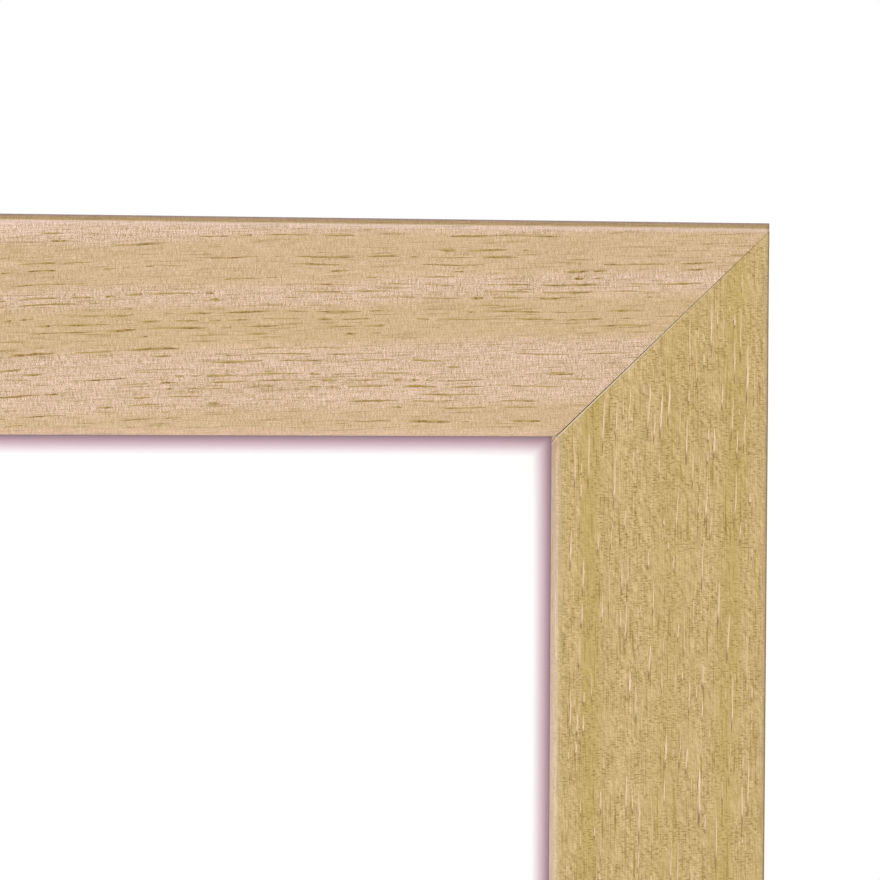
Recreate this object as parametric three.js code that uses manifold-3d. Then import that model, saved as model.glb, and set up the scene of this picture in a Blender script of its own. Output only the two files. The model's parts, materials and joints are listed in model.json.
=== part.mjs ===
// Portrait poster frame for one sheet. Four mitred and rebated wood rails are pinned at the corners
// with V-nails, round a stack of glass, poster, filler card and backing board. Turn buttons hold the
// stack in from behind, and two strap hangers with D-rings carry the frame on the wall.
import * as THREE from "three";
import { mergeVertices } from "three/addons/utils/BufferGeometryUtils.js";
import Module from "manifold-3d";

// Driving dimensions in millimetres. X runs across the frame, Y from the front to the wall, Z up.
// The origin lies on the back plane of the moulding, midway between the hooks that the rings hang on.
// The stack
const sheetWidth = 300;
const sheetHeight = 400;
const glassThickness = 2;
const posterThickness = 0.3;
const fillerThickness = 2;
const backingThickness = 3;
const layerGap = 0.3;
const glassArris = 0.25;
const backingArris = 0.3;
// The wood moulding
const railFace = 20;
const railDepth = 12;
const lipWidth = 5;
const sideFit = 1;
const frontArris = 0.5;
const backArris = 0.5;
const mitreGap = 0.06;
// V-nails, sunk from the back into each mitre
const vnailLeg = 4.5;
const vnailThickness = 0.5;
const vnailHeight = 7;
const vnailSink = 0.2;
const vnailSlack = 0.15;
const outerVnailInset = 6.5;
const innerVnailInset = 12.5;
// Turn buttons of stamped steel
const buttonReach = 16;
const buttonHeelRadius = 4.5;
const buttonTipRadius = 3;
const buttonThickness = 1;
const buttonArris = 0.15;
const buttonLift = 0.3;
const hardwareInset = 7.5;
const stileButtonInset = 81;
const railButtonInset = 91;
// Pan head screws, the same for the turn buttons and the straps
const screwShankRadius = 1.4;
const screwHeadRadius = 2.8;
const screwHeadHeight = 1.9;
const screwHeadRim = 0.5;
const screwLength = 11;
const screwPoint = 3;
const headGap = 0.2;
const pilotSlack = 0.15;
const shankSlack = 0.3;
const recessSpan = 3.2;
const recessWidth = 0.7;
const recessDepth = 1.1;
// Strap hangers, each a steel strap folded round the bar of its D-ring
const hookDrop = 126;
const strapWidth = 8;
const strapThickness = 0.8;
const strapScrewDrop = 15;
const strapNeckDrop = 4;
const glueFilm = 0.1;
const ringWireRadius = 0.8;
const ringHalfWidth = 5.5;
const ringHeight = 11;
const ringCornerRadius = 1.3;
const eyeSlack = 0.2;
const ringRestGap = 0.3;
// Rubber bumpers
const bumperRadius = 4;
const bumperHeight = 2.8;
const bumperArris = 0.8;
const bumperInset = 28;
// Fineness of round stretches, in steps
const arrisSteps = 3;
const arcSteps = 8;
const screwSides = 14;
const ringSteps = 56;
const ringSides = 8;
const bumperSides = 28;

// Sizes that follow from them
const rebateDepth =
  glassThickness + posterThickness + fillerThickness + backingThickness + 4 * layerGap;
const lipBack = -rebateDepth;
const rebateEdge = railFace - lipWidth;
const outerWidth = sheetWidth + 2 * sideFit + 2 * rebateEdge;
const outerHeight = sheetHeight + 2 * sideFit + 2 * rebateEdge;
const halfWidth = outerWidth / 2;
const halfHeight = outerHeight / 2;
const hookHeight = halfHeight - hookDrop;
const stackDrop = sideFit - layerGap;
const eyeRadius = ringWireRadius + eyeSlack;
const eyeDepth = glueFilm + strapThickness + eyeRadius;
const ringLean = Math.asin((eyeDepth - ringWireRadius - ringRestGap) / ringHeight);
const ringBearing = (ringHeight - ringWireRadius) * Math.cos(ringLean);
const ringAxisHeight = hookHeight - ringBearing;
const QUARTER = Math.PI / 2;

const wasm = await Module();
wasm.setup();

// Materials
const wood = new THREE.MeshStandardMaterial({ color: 0xd6bb9b, roughness: 0.62, metalness: 0 });
const zinc = new THREE.MeshStandardMaterial({ color: 0xb9bcc0, roughness: 0.35, metalness: 1 });
const glass = new THREE.MeshStandardMaterial({
  color: 0xf4fbf8,
  roughness: 0.03,
  metalness: 0,
  transparent: true,
  opacity: 0.2,
});
const paper = new THREE.MeshStandardMaterial({ color: 0xfdfdfc, roughness: 0.85, metalness: 0 });
const greyCard = new THREE.MeshStandardMaterial({ color: 0xb7a88f, roughness: 0.9, metalness: 0 });
const fibreboard = new THREE.MeshStandardMaterial({ color: 0x9a7450, roughness: 0.8, metalness: 0 });
const rubber = new THREE.MeshStandardMaterial({ color: 0x2b2b2c, roughness: 0.9, metalness: 0 });

// A closed geometry as a solid, for cutting and joining.
function solidFrom(geometry) {
  const bare = geometry.clone();
  bare.deleteAttribute("normal");
  bare.deleteAttribute("uv");
  const merged = mergeVertices(bare, 1e-4);
  return new wasm.Manifold(
    new wasm.Mesh({
      numProp: 3,
      vertProperties: merged.attributes.position.array,
      triVerts: new Uint32Array(merged.index.array),
    }),
  );
}

// The geometry of a solid.
function geometryFrom(solid) {
  const mesh = solid.getMesh();
  const geometry = new THREE.BufferGeometry();
  geometry.setAttribute("position", new THREE.BufferAttribute(mesh.vertProperties, 3));
  geometry.setIndex(new THREE.BufferAttribute(mesh.triVerts, 1));
  geometry.computeVertexNormals();
  return geometry;
}

// A geometry with every cutter taken away from it.
function cutAway(geometry, cutters) {
  let solid = solidFrom(geometry);
  for (const cutter of cutters) {
    solid = solid.subtract(solidFrom(cutter));
  }
  return geometryFrom(solid);
}

// A flat outline, drawn across and up, as a plate that stands from y = 0 towards the wall.
function plate(outline, thickness, arris = 0) {
  const geometry = new THREE.ExtrudeGeometry(outline, {
    depth: thickness - 2 * arris,
    bevelEnabled: arris > 0,
    bevelThickness: arris,
    bevelSize: arris,
    bevelOffset: -arris,
    bevelSegments: 1,
    curveSegments: arcSteps,
  });
  geometry.rotateX(QUARTER);
  geometry.translate(0, thickness - arris, 0);
  return geometry;
}

function namedMesh(name, geometry, material) {
  const mesh = new THREE.Mesh(geometry, material);
  mesh.name = name;
  return mesh;
}

const frame = new THREE.Group();
frame.position.z = -hookHeight;

// Sites of everything that is screwed to the back, across and up from the frame's centre.
const buttonSites = [];
for (const side of [-1, 1]) {
  const hand = side < 0 ? "left" : "right";
  for (const level of [-1, 1]) {
    const height = level < 0 ? "bottom" : "top";
    // On a stile the button is parked pointing down.
    buttonSites.push({
      name: `${hand}_stile_${height}_button`,
      x: side * (halfWidth - hardwareInset),
      z: level * (halfHeight - stileButtonInset),
      parked: QUARTER,
    });
    // On a rail the button is parked pointing away from the middle.
    buttonSites.push({
      name: `${height}_rail_${hand}_button`,
      x: side * (halfWidth - railButtonInset),
      z: level * (halfHeight - hardwareInset),
      parked: side < 0 ? 2 * QUARTER : 0,
    });
  }
}
const hangerSites = [];
for (const side of [-1, 1]) {
  hangerSites.push({
    hand: side < 0 ? "left" : "right",
    x: side * (halfWidth - hardwareInset),
    z: ringAxisHeight,
  });
}

// V-nail: an L of steel strip whose point lies on the mitre and whose legs open to the outer corner.
function vnailOutline(grow) {
  const outline = new THREE.Shape();
  outline.moveTo(-grow, -grow);
  outline.lineTo(vnailLeg + grow, -grow);
  outline.lineTo(vnailLeg + grow, vnailThickness + grow);
  outline.lineTo(vnailThickness + grow, vnailThickness + grow);
  outline.lineTo(vnailThickness + grow, vnailLeg + grow);
  outline.lineTo(-grow, vnailLeg + grow);
  return outline;
}

const vnailSites = [];
for (const corner of [
  { name: "top_right", across: 1, up: 1, turn: 0 },
  { name: "bottom_right", across: 1, up: -1, turn: 1 },
  { name: "bottom_left", across: -1, up: -1, turn: 2 },
  { name: "top_left", across: -1, up: 1, turn: 3 },
]) {
  for (const [place, inset] of [
    ["outer", outerVnailInset],
    ["inner", innerVnailInset],
  ]) {
    vnailSites.push({
      name: `${corner.name}_${place}_vnail`,
      x: corner.across * (halfWidth - inset),
      z: corner.up * (halfHeight - inset),
      turn: corner.turn * QUARTER,
    });
  }
}

for (const site of vnailSites) {
  const vnail = namedMesh(site.name, plate(vnailOutline(0), vnailHeight), zinc);
  vnail.rotation.y = site.turn;
  vnail.position.set(site.x, -vnailSink - vnailHeight, site.z);
  frame.add(vnail);
}

// What is cut out of the wood: a slot for each V-nail and a pilot hole for each screw.
const woodCuts = [];
for (const site of vnailSites) {
  const slot = plate(vnailOutline(vnailSlack), vnailHeight + 2 * vnailSink + vnailSlack);
  slot.rotateY(site.turn);
  slot.translate(site.x, -vnailSink - vnailHeight - vnailSlack, site.z);
  woodCuts.push(slot);
}
function pilotHole(x, z, grip) {
  const depth = grip + pilotSlack;
  const hole = new THREE.CylinderGeometry(
    screwShankRadius + pilotSlack,
    screwShankRadius + pilotSlack,
    2 * depth,
    screwSides,
  );
  hole.translate(x, 0, z);
  return hole;
}
const buttonHeadSeat = buttonLift + buttonThickness + headGap;
const strapHeadSeat = glueFilm + 2 * strapThickness + headGap;
for (const site of buttonSites) {
  woodCuts.push(pilotHole(site.x, site.z, screwLength - buttonHeadSeat));
}
for (const site of hangerSites) {
  woodCuts.push(pilotHole(site.x, site.z - strapScrewDrop, screwLength - strapHeadSeat));
}

// Section of the moulding, drawn inwards from the outer edge and back from the face.
function mouldingSection() {
  const front = -railDepth;
  const section = new THREE.Shape();
  section.moveTo(frontArris, front);
  section.lineTo(railFace - frontArris, front);
  section.absarc(railFace - frontArris, front + frontArris, frontArris, -QUARTER, 0, false);
  section.lineTo(railFace, lipBack);
  section.lineTo(rebateEdge, lipBack);
  section.lineTo(rebateEdge, 0);
  section.lineTo(backArris, 0);
  section.absarc(backArris, -backArris, backArris, QUARTER, 2 * QUARTER, false);
  section.lineTo(0, front + frontArris);
  section.absarc(frontArris, front + frontArris, frontArris, 2 * QUARTER, 3 * QUARTER, false);
  const points = section.extractPoints(arrisSteps).shape;
  if (points[0].distanceTo(points[points.length - 1]) < 1e-6) {
    points.pop();
  }
  return points;
}

// A length of moulding along X with its outer edge at z = 0, mitred at both ends.
function mitredBar(length) {
  const section = mouldingSection();
  const count = section.length;
  const setback = mitreGap / Math.SQRT2;
  const positions = [];
  for (const end of [-1, 1]) {
    for (const point of section) {
      positions.push(end * (length / 2 - point.x - setback), point.y, -point.x);
    }
  }
  const index = [];
  for (const [a, b, c] of THREE.ShapeUtils.triangulateShape(section, [])) {
    index.push(c, b, a);
    index.push(a + count, b + count, c + count);
  }
  for (let i = 0; i < count; i++) {
    const next = (i + 1) % count;
    index.push(i, next, next + count);
    index.push(i, next + count, i + count);
  }
  const geometry = new THREE.BufferGeometry();
  geometry.setAttribute("position", new THREE.Float32BufferAttribute(positions, 3));
  geometry.setIndex(index);
  return geometry;
}

for (const rail of [
  { name: "top_rail", length: outerWidth, turn: 0, x: 0, z: halfHeight },
  { name: "right_stile", length: outerHeight, turn: 1, x: halfWidth, z: 0 },
  { name: "bottom_rail", length: outerWidth, turn: 2, x: 0, z: -halfHeight },
  { name: "left_stile", length: outerHeight, turn: 3, x: -halfWidth, z: 0 },
]) {
  const mesh = namedMesh(rail.name, undefined, wood);
  mesh.rotation.y = rail.turn * QUARTER;
  mesh.position.set(rail.x, 0, rail.z);
  mesh.updateMatrix();
  const intoRail = mesh.matrix.clone().invert();
  const cutters = woodCuts.map((cutter) => cutter.clone().applyMatrix4(intoRail));
  mesh.geometry = cutAway(mitredBar(rail.length), cutters);
  frame.add(mesh);
}

// The stack stands on the lower rebate, each layer a gap behind the one in front.
function sheetOutline() {
  const outline = new THREE.Shape();
  outline.moveTo(-sheetWidth / 2, -sheetHeight / 2);
  outline.lineTo(sheetWidth / 2, -sheetHeight / 2);
  outline.lineTo(sheetWidth / 2, sheetHeight / 2);
  outline.lineTo(-sheetWidth / 2, sheetHeight / 2);
  return outline;
}
let layerFront = lipBack;
for (const layer of [
  { name: "glazing_sheet", thickness: glassThickness, arris: glassArris, material: glass },
  { name: "poster_sheet", thickness: posterThickness, arris: 0, material: paper },
  { name: "filler_card", thickness: fillerThickness, arris: 0, material: greyCard },
  { name: "backing_board", thickness: backingThickness, arris: backingArris, material: fibreboard },
]) {
  layerFront += layerGap;
  const sheet = plate(sheetOutline(), layer.thickness, layer.arris);
  const mesh = namedMesh(layer.name, sheet, layer.material);
  mesh.position.set(0, layerFront, -stackDrop);
  frame.add(mesh);
  layerFront += layer.thickness;
}

// Pan head screw along Y, its head's underside at y = 0 and its point towards the front.
function screwGeometry() {
  const profile = [
    new THREE.Vector2(0, -screwLength),
    new THREE.Vector2(screwShankRadius, -screwLength + screwPoint),
    new THREE.Vector2(screwShankRadius, 0),
    new THREE.Vector2(screwHeadRadius, 0),
  ];
  const domeSteps = 4;
  for (let step = 0; step < domeSteps; step++) {
    const angle = (step / domeSteps) * QUARTER;
    profile.push(
      new THREE.Vector2(
        screwHeadRadius * Math.cos(angle),
        screwHeadRim + (screwHeadHeight - screwHeadRim) * Math.sin(angle),
      ),
    );
  }
  profile.push(new THREE.Vector2(0, screwHeadHeight));
  const body = new THREE.LatheGeometry(profile, screwSides);
  const slots = [];
  for (const [width, length] of [
    [recessSpan, recessWidth],
    [recessWidth, recessSpan],
  ]) {
    const slot = new THREE.BoxGeometry(width, 2 * recessDepth, length);
    slot.translate(0, screwHeadHeight, 0);
    slots.push(slot);
  }
  return cutAway(body, slots);
}

// Turn button: a teardrop plate that turns about the hole in its wide heel.
function buttonOutline() {
  const tangent = Math.acos((buttonHeelRadius - buttonTipRadius) / buttonReach);
  const outline = new THREE.Shape();
  outline.absarc(0, 0, buttonHeelRadius, tangent, 2 * Math.PI - tangent, false);
  outline.absarc(buttonReach, 0, buttonTipRadius, -tangent, tangent, false);
  const hole = new THREE.Path();
  hole.absarc(0, 0, screwShankRadius + shankSlack, 0, 2 * Math.PI, true);
  outline.holes.push(hole);
  return outline;
}

for (const site of buttonSites) {
  const outline = buttonOutline();
  const button = namedMesh(site.name, plate(outline, buttonThickness, buttonArris), zinc);
  button.rotation.y = site.parked;
  button.position.set(site.x, buttonLift, site.z);
  frame.add(button);
  const screw = namedMesh(`${site.name}_screw`, screwGeometry(), zinc);
  screw.position.set(site.x, buttonHeadSeat, site.z);
  frame.add(screw);
}

// Side of the folded strap, drawn from the wood outwards and up. The eye's centre is its origin.
function strapSide() {
  const eyeOuter = eyeRadius + strapThickness;
  const foot = -eyeOuter;
  const top = foot + 2 * strapThickness;
  const end = -strapScrewDrop - strapWidth;
  const turnIn = -QUARTER / 2;
  const side = new THREE.Shape();
  side.moveTo(foot, end);
  side.lineTo(top, end);
  side.lineTo(top, -strapNeckDrop);
  side.quadraticCurveTo(
    top,
    -eyeOuter,
    eyeOuter * Math.cos(turnIn),
    eyeOuter * Math.sin(turnIn),
  );
  side.absarc(0, 0, eyeOuter, turnIn, Math.PI, false);
  const eye = new THREE.Path();
  eye.absarc(0, 0, eyeRadius, 0, 2 * Math.PI, true);
  side.holes.push(eye);
  return side;
}

// Plan of the strap, drawn across and up: square at the eye, round about the screw.
function strapPlan() {
  const half = strapWidth / 2;
  const top = eyeRadius + 2 * strapThickness;
  const plan = new THREE.Shape();
  plan.moveTo(half, top);
  plan.lineTo(-half, top);
  plan.absarc(0, -strapScrewDrop, half, Math.PI, 2 * Math.PI, false);
  plan.lineTo(half, top);
  const hole = new THREE.Path();
  hole.absarc(0, -strapScrewDrop, screwShankRadius + shankSlack, 0, 2 * Math.PI, true);
  plan.holes.push(hole);
  return plan;
}

function strapGeometry() {
  const folded = new THREE.ExtrudeGeometry(strapSide(), {
    depth: 2 * strapWidth,
    bevelEnabled: false,
    curveSegments: arcSteps,
  });
  folded.translate(0, 0, -strapWidth);
  const across = new THREE.Vector3(1, 0, 0);
  const outwards = new THREE.Vector3(0, 1, 0);
  const up = new THREE.Vector3(0, 0, 1);
  folded.applyMatrix4(new THREE.Matrix4().makeBasis(outwards, up, across));
  const blank = plate(strapPlan(), 4 * eyeDepth);
  blank.translate(0, -2 * eyeDepth, 0);
  return geometryFrom(solidFrom(folded).intersect(solidFrom(blank)));
}

// D-ring of round wire, drawn across and up from the middle of its straight bar.
function ringGeometry() {
  const straight = ringHalfWidth - ringCornerRadius;
  const bow = ringHeight - ringHalfWidth;
  const path = new THREE.Path();
  path.moveTo(-straight, 0);
  path.lineTo(straight, 0);
  path.absarc(straight, ringCornerRadius, ringCornerRadius, -QUARTER, 0, false);
  path.absarc(0, bow, ringHalfWidth, 0, 2 * QUARTER, false);
  path.absarc(-straight, ringCornerRadius, ringCornerRadius, 2 * QUARTER, 3 * QUARTER, false);
  const points = path.getSpacedPoints(ringSteps).slice(0, -1);
  const centreline = new THREE.CatmullRomCurve3(
    points.map((point) => new THREE.Vector3(point.x, 0, point.y)),
    true,
  );
  return new THREE.TubeGeometry(centreline, ringSteps, ringWireRadius, ringSides, true);
}

for (const site of hangerSites) {
  const strap = namedMesh(`${site.hand}_strap_hanger`, strapGeometry(), zinc);
  strap.position.set(site.x, eyeDepth, site.z);
  frame.add(strap);
  // The ring stands up from its eye and leans on the wood behind it.
  const ring = namedMesh(`${site.hand}_d_ring`, ringGeometry(), zinc);
  ring.position.set(site.x, eyeDepth, site.z);
  ring.rotation.x = ringLean;
  frame.add(ring);
  const screw = namedMesh(`${site.hand}_hanger_screw`, screwGeometry(), zinc);
  screw.position.set(site.x, strapHeadSeat, site.z - strapScrewDrop);
  frame.add(screw);
}

// Bumper: a low round pad with a softened rim, glued to the back of the bottom rail.
function bumperGeometry() {
  const profile = [new THREE.Vector2(0, 0), new THREE.Vector2(bumperRadius, 0)];
  for (let step = 0; step <= arrisSteps; step++) {
    const angle = (step / arrisSteps) * QUARTER;
    profile.push(
      new THREE.Vector2(
        bumperRadius - bumperArris + bumperArris * Math.cos(angle),
        bumperHeight - bumperArris + bumperArris * Math.sin(angle),
      ),
    );
  }
  profile.push(new THREE.Vector2(0, bumperHeight));
  return new THREE.LatheGeometry(profile, bumperSides);
}

for (const side of [-1, 1]) {
  const bumper = namedMesh(side < 0 ? "left_bumper" : "right_bumper", bumperGeometry(), rubber);
  bumper.position.set(side * (halfWidth - bumperInset), glueFilm, hardwareInset - halfHeight);
  frame.add(bumper);
}

const posterFrame = new THREE.Group();
posterFrame.add(frame);

export default posterFrame;
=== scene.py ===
import json
import math
import random

import bmesh
import bpy
from mathutils import Matrix, Vector
from mathutils.geometry import delaunay_2d_cdt


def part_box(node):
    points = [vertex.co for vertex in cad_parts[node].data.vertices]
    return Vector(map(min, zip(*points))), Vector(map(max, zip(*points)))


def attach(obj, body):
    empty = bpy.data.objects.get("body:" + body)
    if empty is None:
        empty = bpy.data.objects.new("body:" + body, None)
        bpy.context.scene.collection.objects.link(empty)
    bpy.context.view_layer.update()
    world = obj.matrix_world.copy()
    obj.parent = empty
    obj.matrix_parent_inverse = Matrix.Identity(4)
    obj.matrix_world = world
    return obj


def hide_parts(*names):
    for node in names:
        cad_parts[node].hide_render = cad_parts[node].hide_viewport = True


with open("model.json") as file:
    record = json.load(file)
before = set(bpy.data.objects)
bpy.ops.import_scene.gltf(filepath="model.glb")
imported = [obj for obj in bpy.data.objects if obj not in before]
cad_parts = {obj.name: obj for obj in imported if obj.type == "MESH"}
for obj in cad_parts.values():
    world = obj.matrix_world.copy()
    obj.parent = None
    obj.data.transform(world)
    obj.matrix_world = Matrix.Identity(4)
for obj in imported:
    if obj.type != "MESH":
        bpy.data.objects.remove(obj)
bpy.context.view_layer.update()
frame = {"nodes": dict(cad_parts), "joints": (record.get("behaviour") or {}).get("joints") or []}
scene = bpy.context.scene

# The camera. It looks almost square on at the upper right corner of the frame from close by, a
# little from the left, so that the inner side of the right stile just shows.
MM = 0.001
UP = Vector((0, 0, 1))
AIM_INWARDS = 30.82 * MM
AIM_DOWN = 20.36 * MM
VIEW_DISTANCE = 147.4 * MM
VIEW_START = 5 * MM
VIEW_YAW = math.radians(3.96)
VIEW_PITCH = math.radians(-1.07)
VIEW_ROLL = math.radians(0.26)
VIEW_LENS = 65.45

top_rail_low, top_rail_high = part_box("top_rail")
outer_corner = Vector((top_rail_high.x, top_rail_low.y, top_rail_high.z))
aim = outer_corner - Vector((AIM_INWARDS, 0, AIM_DOWN))
ahead = math.cos(VIEW_PITCH)
forward = Vector((math.sin(VIEW_YAW) * ahead, math.cos(VIEW_YAW) * ahead, math.sin(VIEW_PITCH)))
level = forward.cross(UP).normalized()
rise = level.cross(forward)
picture_right = level * math.cos(VIEW_ROLL) + rise * math.sin(VIEW_ROLL)
picture_up = rise * math.cos(VIEW_ROLL) - level * math.sin(VIEW_ROLL)
camera_data = bpy.data.cameras.new("corner_view")
camera_data.lens = VIEW_LENS
camera_data.clip_start = VIEW_START
camera = bpy.data.objects.new("corner_view", camera_data)
scene.collection.objects.link(camera)
camera_turn = Matrix((picture_right, picture_up, -forward)).transposed().to_4x4()
camera.matrix_world = Matrix.Translation(aim - forward * VIEW_DISTANCE) @ camera_turn
scene.camera = camera

# The moulding. Four bars of light open-pored hardwood, planed flat with a rebate behind the inner
# edge, sanded at the arrises and sawn to 45 degrees. The open pores are real grooves in the planed
# faces, cut as thin slivers along the grain.
FRONT_ARRIS = 0.5 * MM
BACK_ARRIS = 0.5 * MM
INNER_BREAK = 0.15 * MM
LIP_WIDTH = 5 * MM
REBATE_SLACK = 0.3 * MM
ARRIS_STEPS = 5
STATION_PITCH = 1.5 * MM

# The saw stop leaves each bar a little long at one end, so its mitre starts a step below the
# outer corner there. Towards the inner edge the joint opens and its edges are more worn. Along the
# worn edges a highlight is painted on the upright bars and a shade on the rails, stronger inwards.
SAW_STEP = 0.7 * MM
JOINT_GAP = 0.012 * MM
JOINT_GAP_INSIDE = 0.035 * MM
JOINT_BREAK = 0.025 * MM
LONG_END_BREAK = 0.05 * MM
SHORT_END_BREAK = 0.14 * MM
GAP_GROWTH = 3
BREAK_GROWTH = 9
JOINT_LIGHT_GROWTH = 26
SAWN_MARK = -1.0
CUT_SLACK = 0.02 * MM

# Sanding leaves the arrises uneven by two waves, the second one weaker, that swell and fade.
SANDING_DEPTH = 0.02 * MM
SANDING_WAVES = (9 * MM, 3.1 * MM)
SANDING_SWELL = 23 * MM
SECOND_WAVE = 0.6

front_y = top_rail_low.y
back_y = 0.0
lip_back_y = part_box("glazing_sheet")[0].y - REBATE_SLACK
face_width = top_rail_high.z - top_rail_low.z
rebate_edge = face_width - LIP_WIDTH
half_width = top_rail_high.x
frame_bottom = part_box("bottom_rail")[0].z
frame_middle = (top_rail_high.z + frame_bottom) / 2
half_height = (top_rail_high.z - frame_bottom) / 2

# Pores on the rails are painted darker than the wood, as in shade, and lean a little; on the stiles
# they are painted pale, as if lit, and stand upright.
# They lie in rows, in chains with short breaks and longer rests. The rows, rest, lengths, halves
# and depth, the breaks and the jitter are in millimetres.
RAIL_PORES = dict(
    slope=-0.035, rows=0.6, chain=0.58, rest=13.0, lengths=(0.8, 6.5), halves=(0.06, 0.17), depth=0.06
)
STILE_PORES = dict(
    slope=0.012, rows=0.6, chain=0.4, rest=11.0, lengths=(0.8, 6.0), halves=(0.07, 0.18), depth=0.12
)
PORE_STEPS = 12
PORE_MARGIN = 0.12 * MM
END_MARGIN = 4 * PORE_MARGIN
SHORT_PORES = 1.5
ROW_SWAYS = ((0.45 * MM, 14 * MM), (0.05 * MM, 1.7 * MM))
ROW_SPREAD = (0.88, 1.2)
JITTER = 0.02
BREAKS = (0.35, 1.4)
LEAST_REST = 2
BACK_REST_GAIN = 1.6
DARK_SPELLS = (1, 2, 3)
DARK_PLACES = (0.1, 0.9)
DARK_LENGTHS = (0.08, 0.24)
DARK_STRENGTHS = (0.4, 1)
TIP_SHAPE = 0.4
RAGGED = 0.65
PALE_DEPTH = 0.3
PALE_WIDTH = 0.7
BED_SKEW = 0.3
RIM_DARKNESS = 0.4
CLOSENESS = 1e-9


def arc(centre, radius, start, stop, steps):
    """Points along an arc, without its last."""
    angles = [start + (stop - start) * k / steps for k in range(steps)]
    return [(centre[0] + radius * math.cos(t), centre[1] + radius * math.sin(t)) for t in angles]


def moulding_section():
    """Points of the section, inwards from the outer edge and round, and the strip after each."""
    quarter = math.pi / 2
    front = front_y + FRONT_ARRIS
    back = back_y - BACK_ARRIS
    inner_arris = arc((face_width - FRONT_ARRIS, front), FRONT_ARRIS, -quarter, 0, ARRIS_STEPS)
    back_arris = arc((BACK_ARRIS, back), BACK_ARRIS, quarter, math.pi, ARRIS_STEPS)
    front_arris = arc((FRONT_ARRIS, front), FRONT_ARRIS, math.pi, 3 * quarter, ARRIS_STEPS)
    strips = [("flat", (FRONT_ARRIS, front_y)), ("face", (mitre_start(front_y), front_y))]
    strips += [("round", point) for point in inner_arris]
    strips += [
        ("edge", (face_width, front)),
        ("flat", (face_width, lip_back_y - INNER_BREAK)),
        ("flat", (face_width - INNER_BREAK, lip_back_y)),
        ("flat", (rebate_edge, lip_back_y)),
        ("flat", (rebate_edge, back_y - INNER_BREAK)),
        ("back", (rebate_edge - INNER_BREAK, back_y)),
        ("flat", (mitre_start(back_y), back_y)),
    ]
    strips += [("round", point) for point in back_arris]
    strips.append(("edge", (0, back)))
    strips += [("round", point) for point in front_arris]
    return [point for _, point in strips], [kind for kind, _ in strips]


def joint_gap(inwards):
    """Half the open joint, tight at the outer edge and open at the inner one."""
    return JOINT_GAP + JOINT_GAP_INSIDE * (inwards / face_width) ** GAP_GROWTH


def joint_break(inwards, at_tip):
    """How far the sawn edge is sanded back, by as much more as its tip asks for."""
    return JOINT_BREAK + at_tip * (inwards / face_width) ** BREAK_GROWTH


def arris_drop(y):
    """How far the rounded arrises draw a side back at a depth."""
    for radius, beyond in ((FRONT_ARRIS, front_y + FRONT_ARRIS - y), (BACK_ARRIS, y - back_y + BACK_ARRIS)):
        if beyond > 0:
            return radius - math.sqrt(max(radius**2 - beyond**2, 0))
    return 0


def mitre_start(y):
    """How far in from the outer edge the mitre starts at the long end, past the rounded corner."""
    return SAW_STEP + arris_drop(y) * (face_width - SAW_STEP) / face_width


def long_end(half_length, inwards, y):
    """Where the bar stops at its long end, by the distance from its outer edge and the depth."""
    slope = face_width / (face_width - SAW_STEP)
    mitre = half_length - joint_gap(inwards) - max(inwards - SAW_STEP, 0) * slope
    return min(mitre, half_length - joint_gap(0) - arris_drop(y))


def short_end(half_length, inwards):
    """Where the bar stops at its other end, which gives way to the long end of its neighbour."""
    slope = (face_width - SAW_STEP) / face_width
    return half_length - joint_gap(inwards) - SAW_STEP - inwards * slope


def groove_from(start, row, look, sway, dice):
    """One pore as stations of (along, across, half width, depth, darkness), both tips thin."""
    shortest, longest = look["lengths"]
    length = (shortest + (longest - shortest) * dice.random() ** SHORT_PORES) * MM
    half = dice.uniform(*look["halves"]) * MM
    number = dice.choice(DARK_SPELLS)
    spells = [(dice.uniform(*DARK_PLACES), dice.uniform(*DARK_LENGTHS)) for _ in range(number)]
    strength = dice.uniform(*DARK_STRENGTHS)
    groove = []
    for step in range(PORE_STEPS + 1):
        place = step / PORE_STEPS
        along = start + length * place
        across = row + look["slope"] * along
        for (swing, wave), phase in zip(ROW_SWAYS, sway):
            across += swing * math.sin(along / wave + phase)
        across += dice.uniform(-JITTER, JITTER) * MM
        dark = max(math.exp(-(((place - middle) / spread) ** 2)) for middle, spread in spells) * strength
        width_share = PALE_WIDTH + (1 - PALE_WIDTH) * dark
        depth_share = PALE_DEPTH + (1 - PALE_DEPTH) * dark
        swell = math.sin(math.pi * place) ** TIP_SHAPE * width_share * dice.uniform(RAGGED, 1)
        groove.append((along, across, half * swell, look["depth"] * MM * swell * depth_share, dark))
    return groove


def grooves_of(width, reach, look, dice):
    """Pores in broken rows along the grain of a planed strip."""
    grooves = []
    low_end, high_end = reach(0)
    sway = [dice.uniform(0, math.tau) for _ in ROW_SWAYS]
    drift = abs(look["slope"]) * (high_end - low_end) / 2
    row = -drift
    while row < width + drift:
        start = low_end + dice.uniform(0, look["rest"]) * MM
        while start < high_end:
            groove = groove_from(start, row, look, sway, dice)
            room = min(min(across - half, width - across - half) for _, across, half, _, _ in groove)
            ends = [(reach(across), along) for along, across, _, _, _ in groove]
            clear = all(low + END_MARGIN < along < high - END_MARGIN for (low, high), along in ends)
            if room > PORE_MARGIN and clear:
                grooves.append(groove)
            start = groove[-1][0]
            if dice.random() < look["chain"]:
                start += dice.uniform(*BREAKS) * MM
            else:
                start += (LEAST_REST + dice.expovariate(1 / look["rest"])) * MM
        row += look["rows"] * dice.uniform(*ROW_SPREAD) * MM
    return grooves


def inside_outline(point, outline):
    """True if a point of a flat face lies inside an outline."""
    crossings = 0
    for (s0, a0), (s1, a1) in zip(outline, outline[1:] + outline[:1]):
        if (a0 > point[1]) != (a1 > point[1]):
            if point[0] < s0 + (point[1] - a0) * (s1 - s0) / (a1 - a0):
                crossings += 1
    return crossings % 2 == 1


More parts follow.
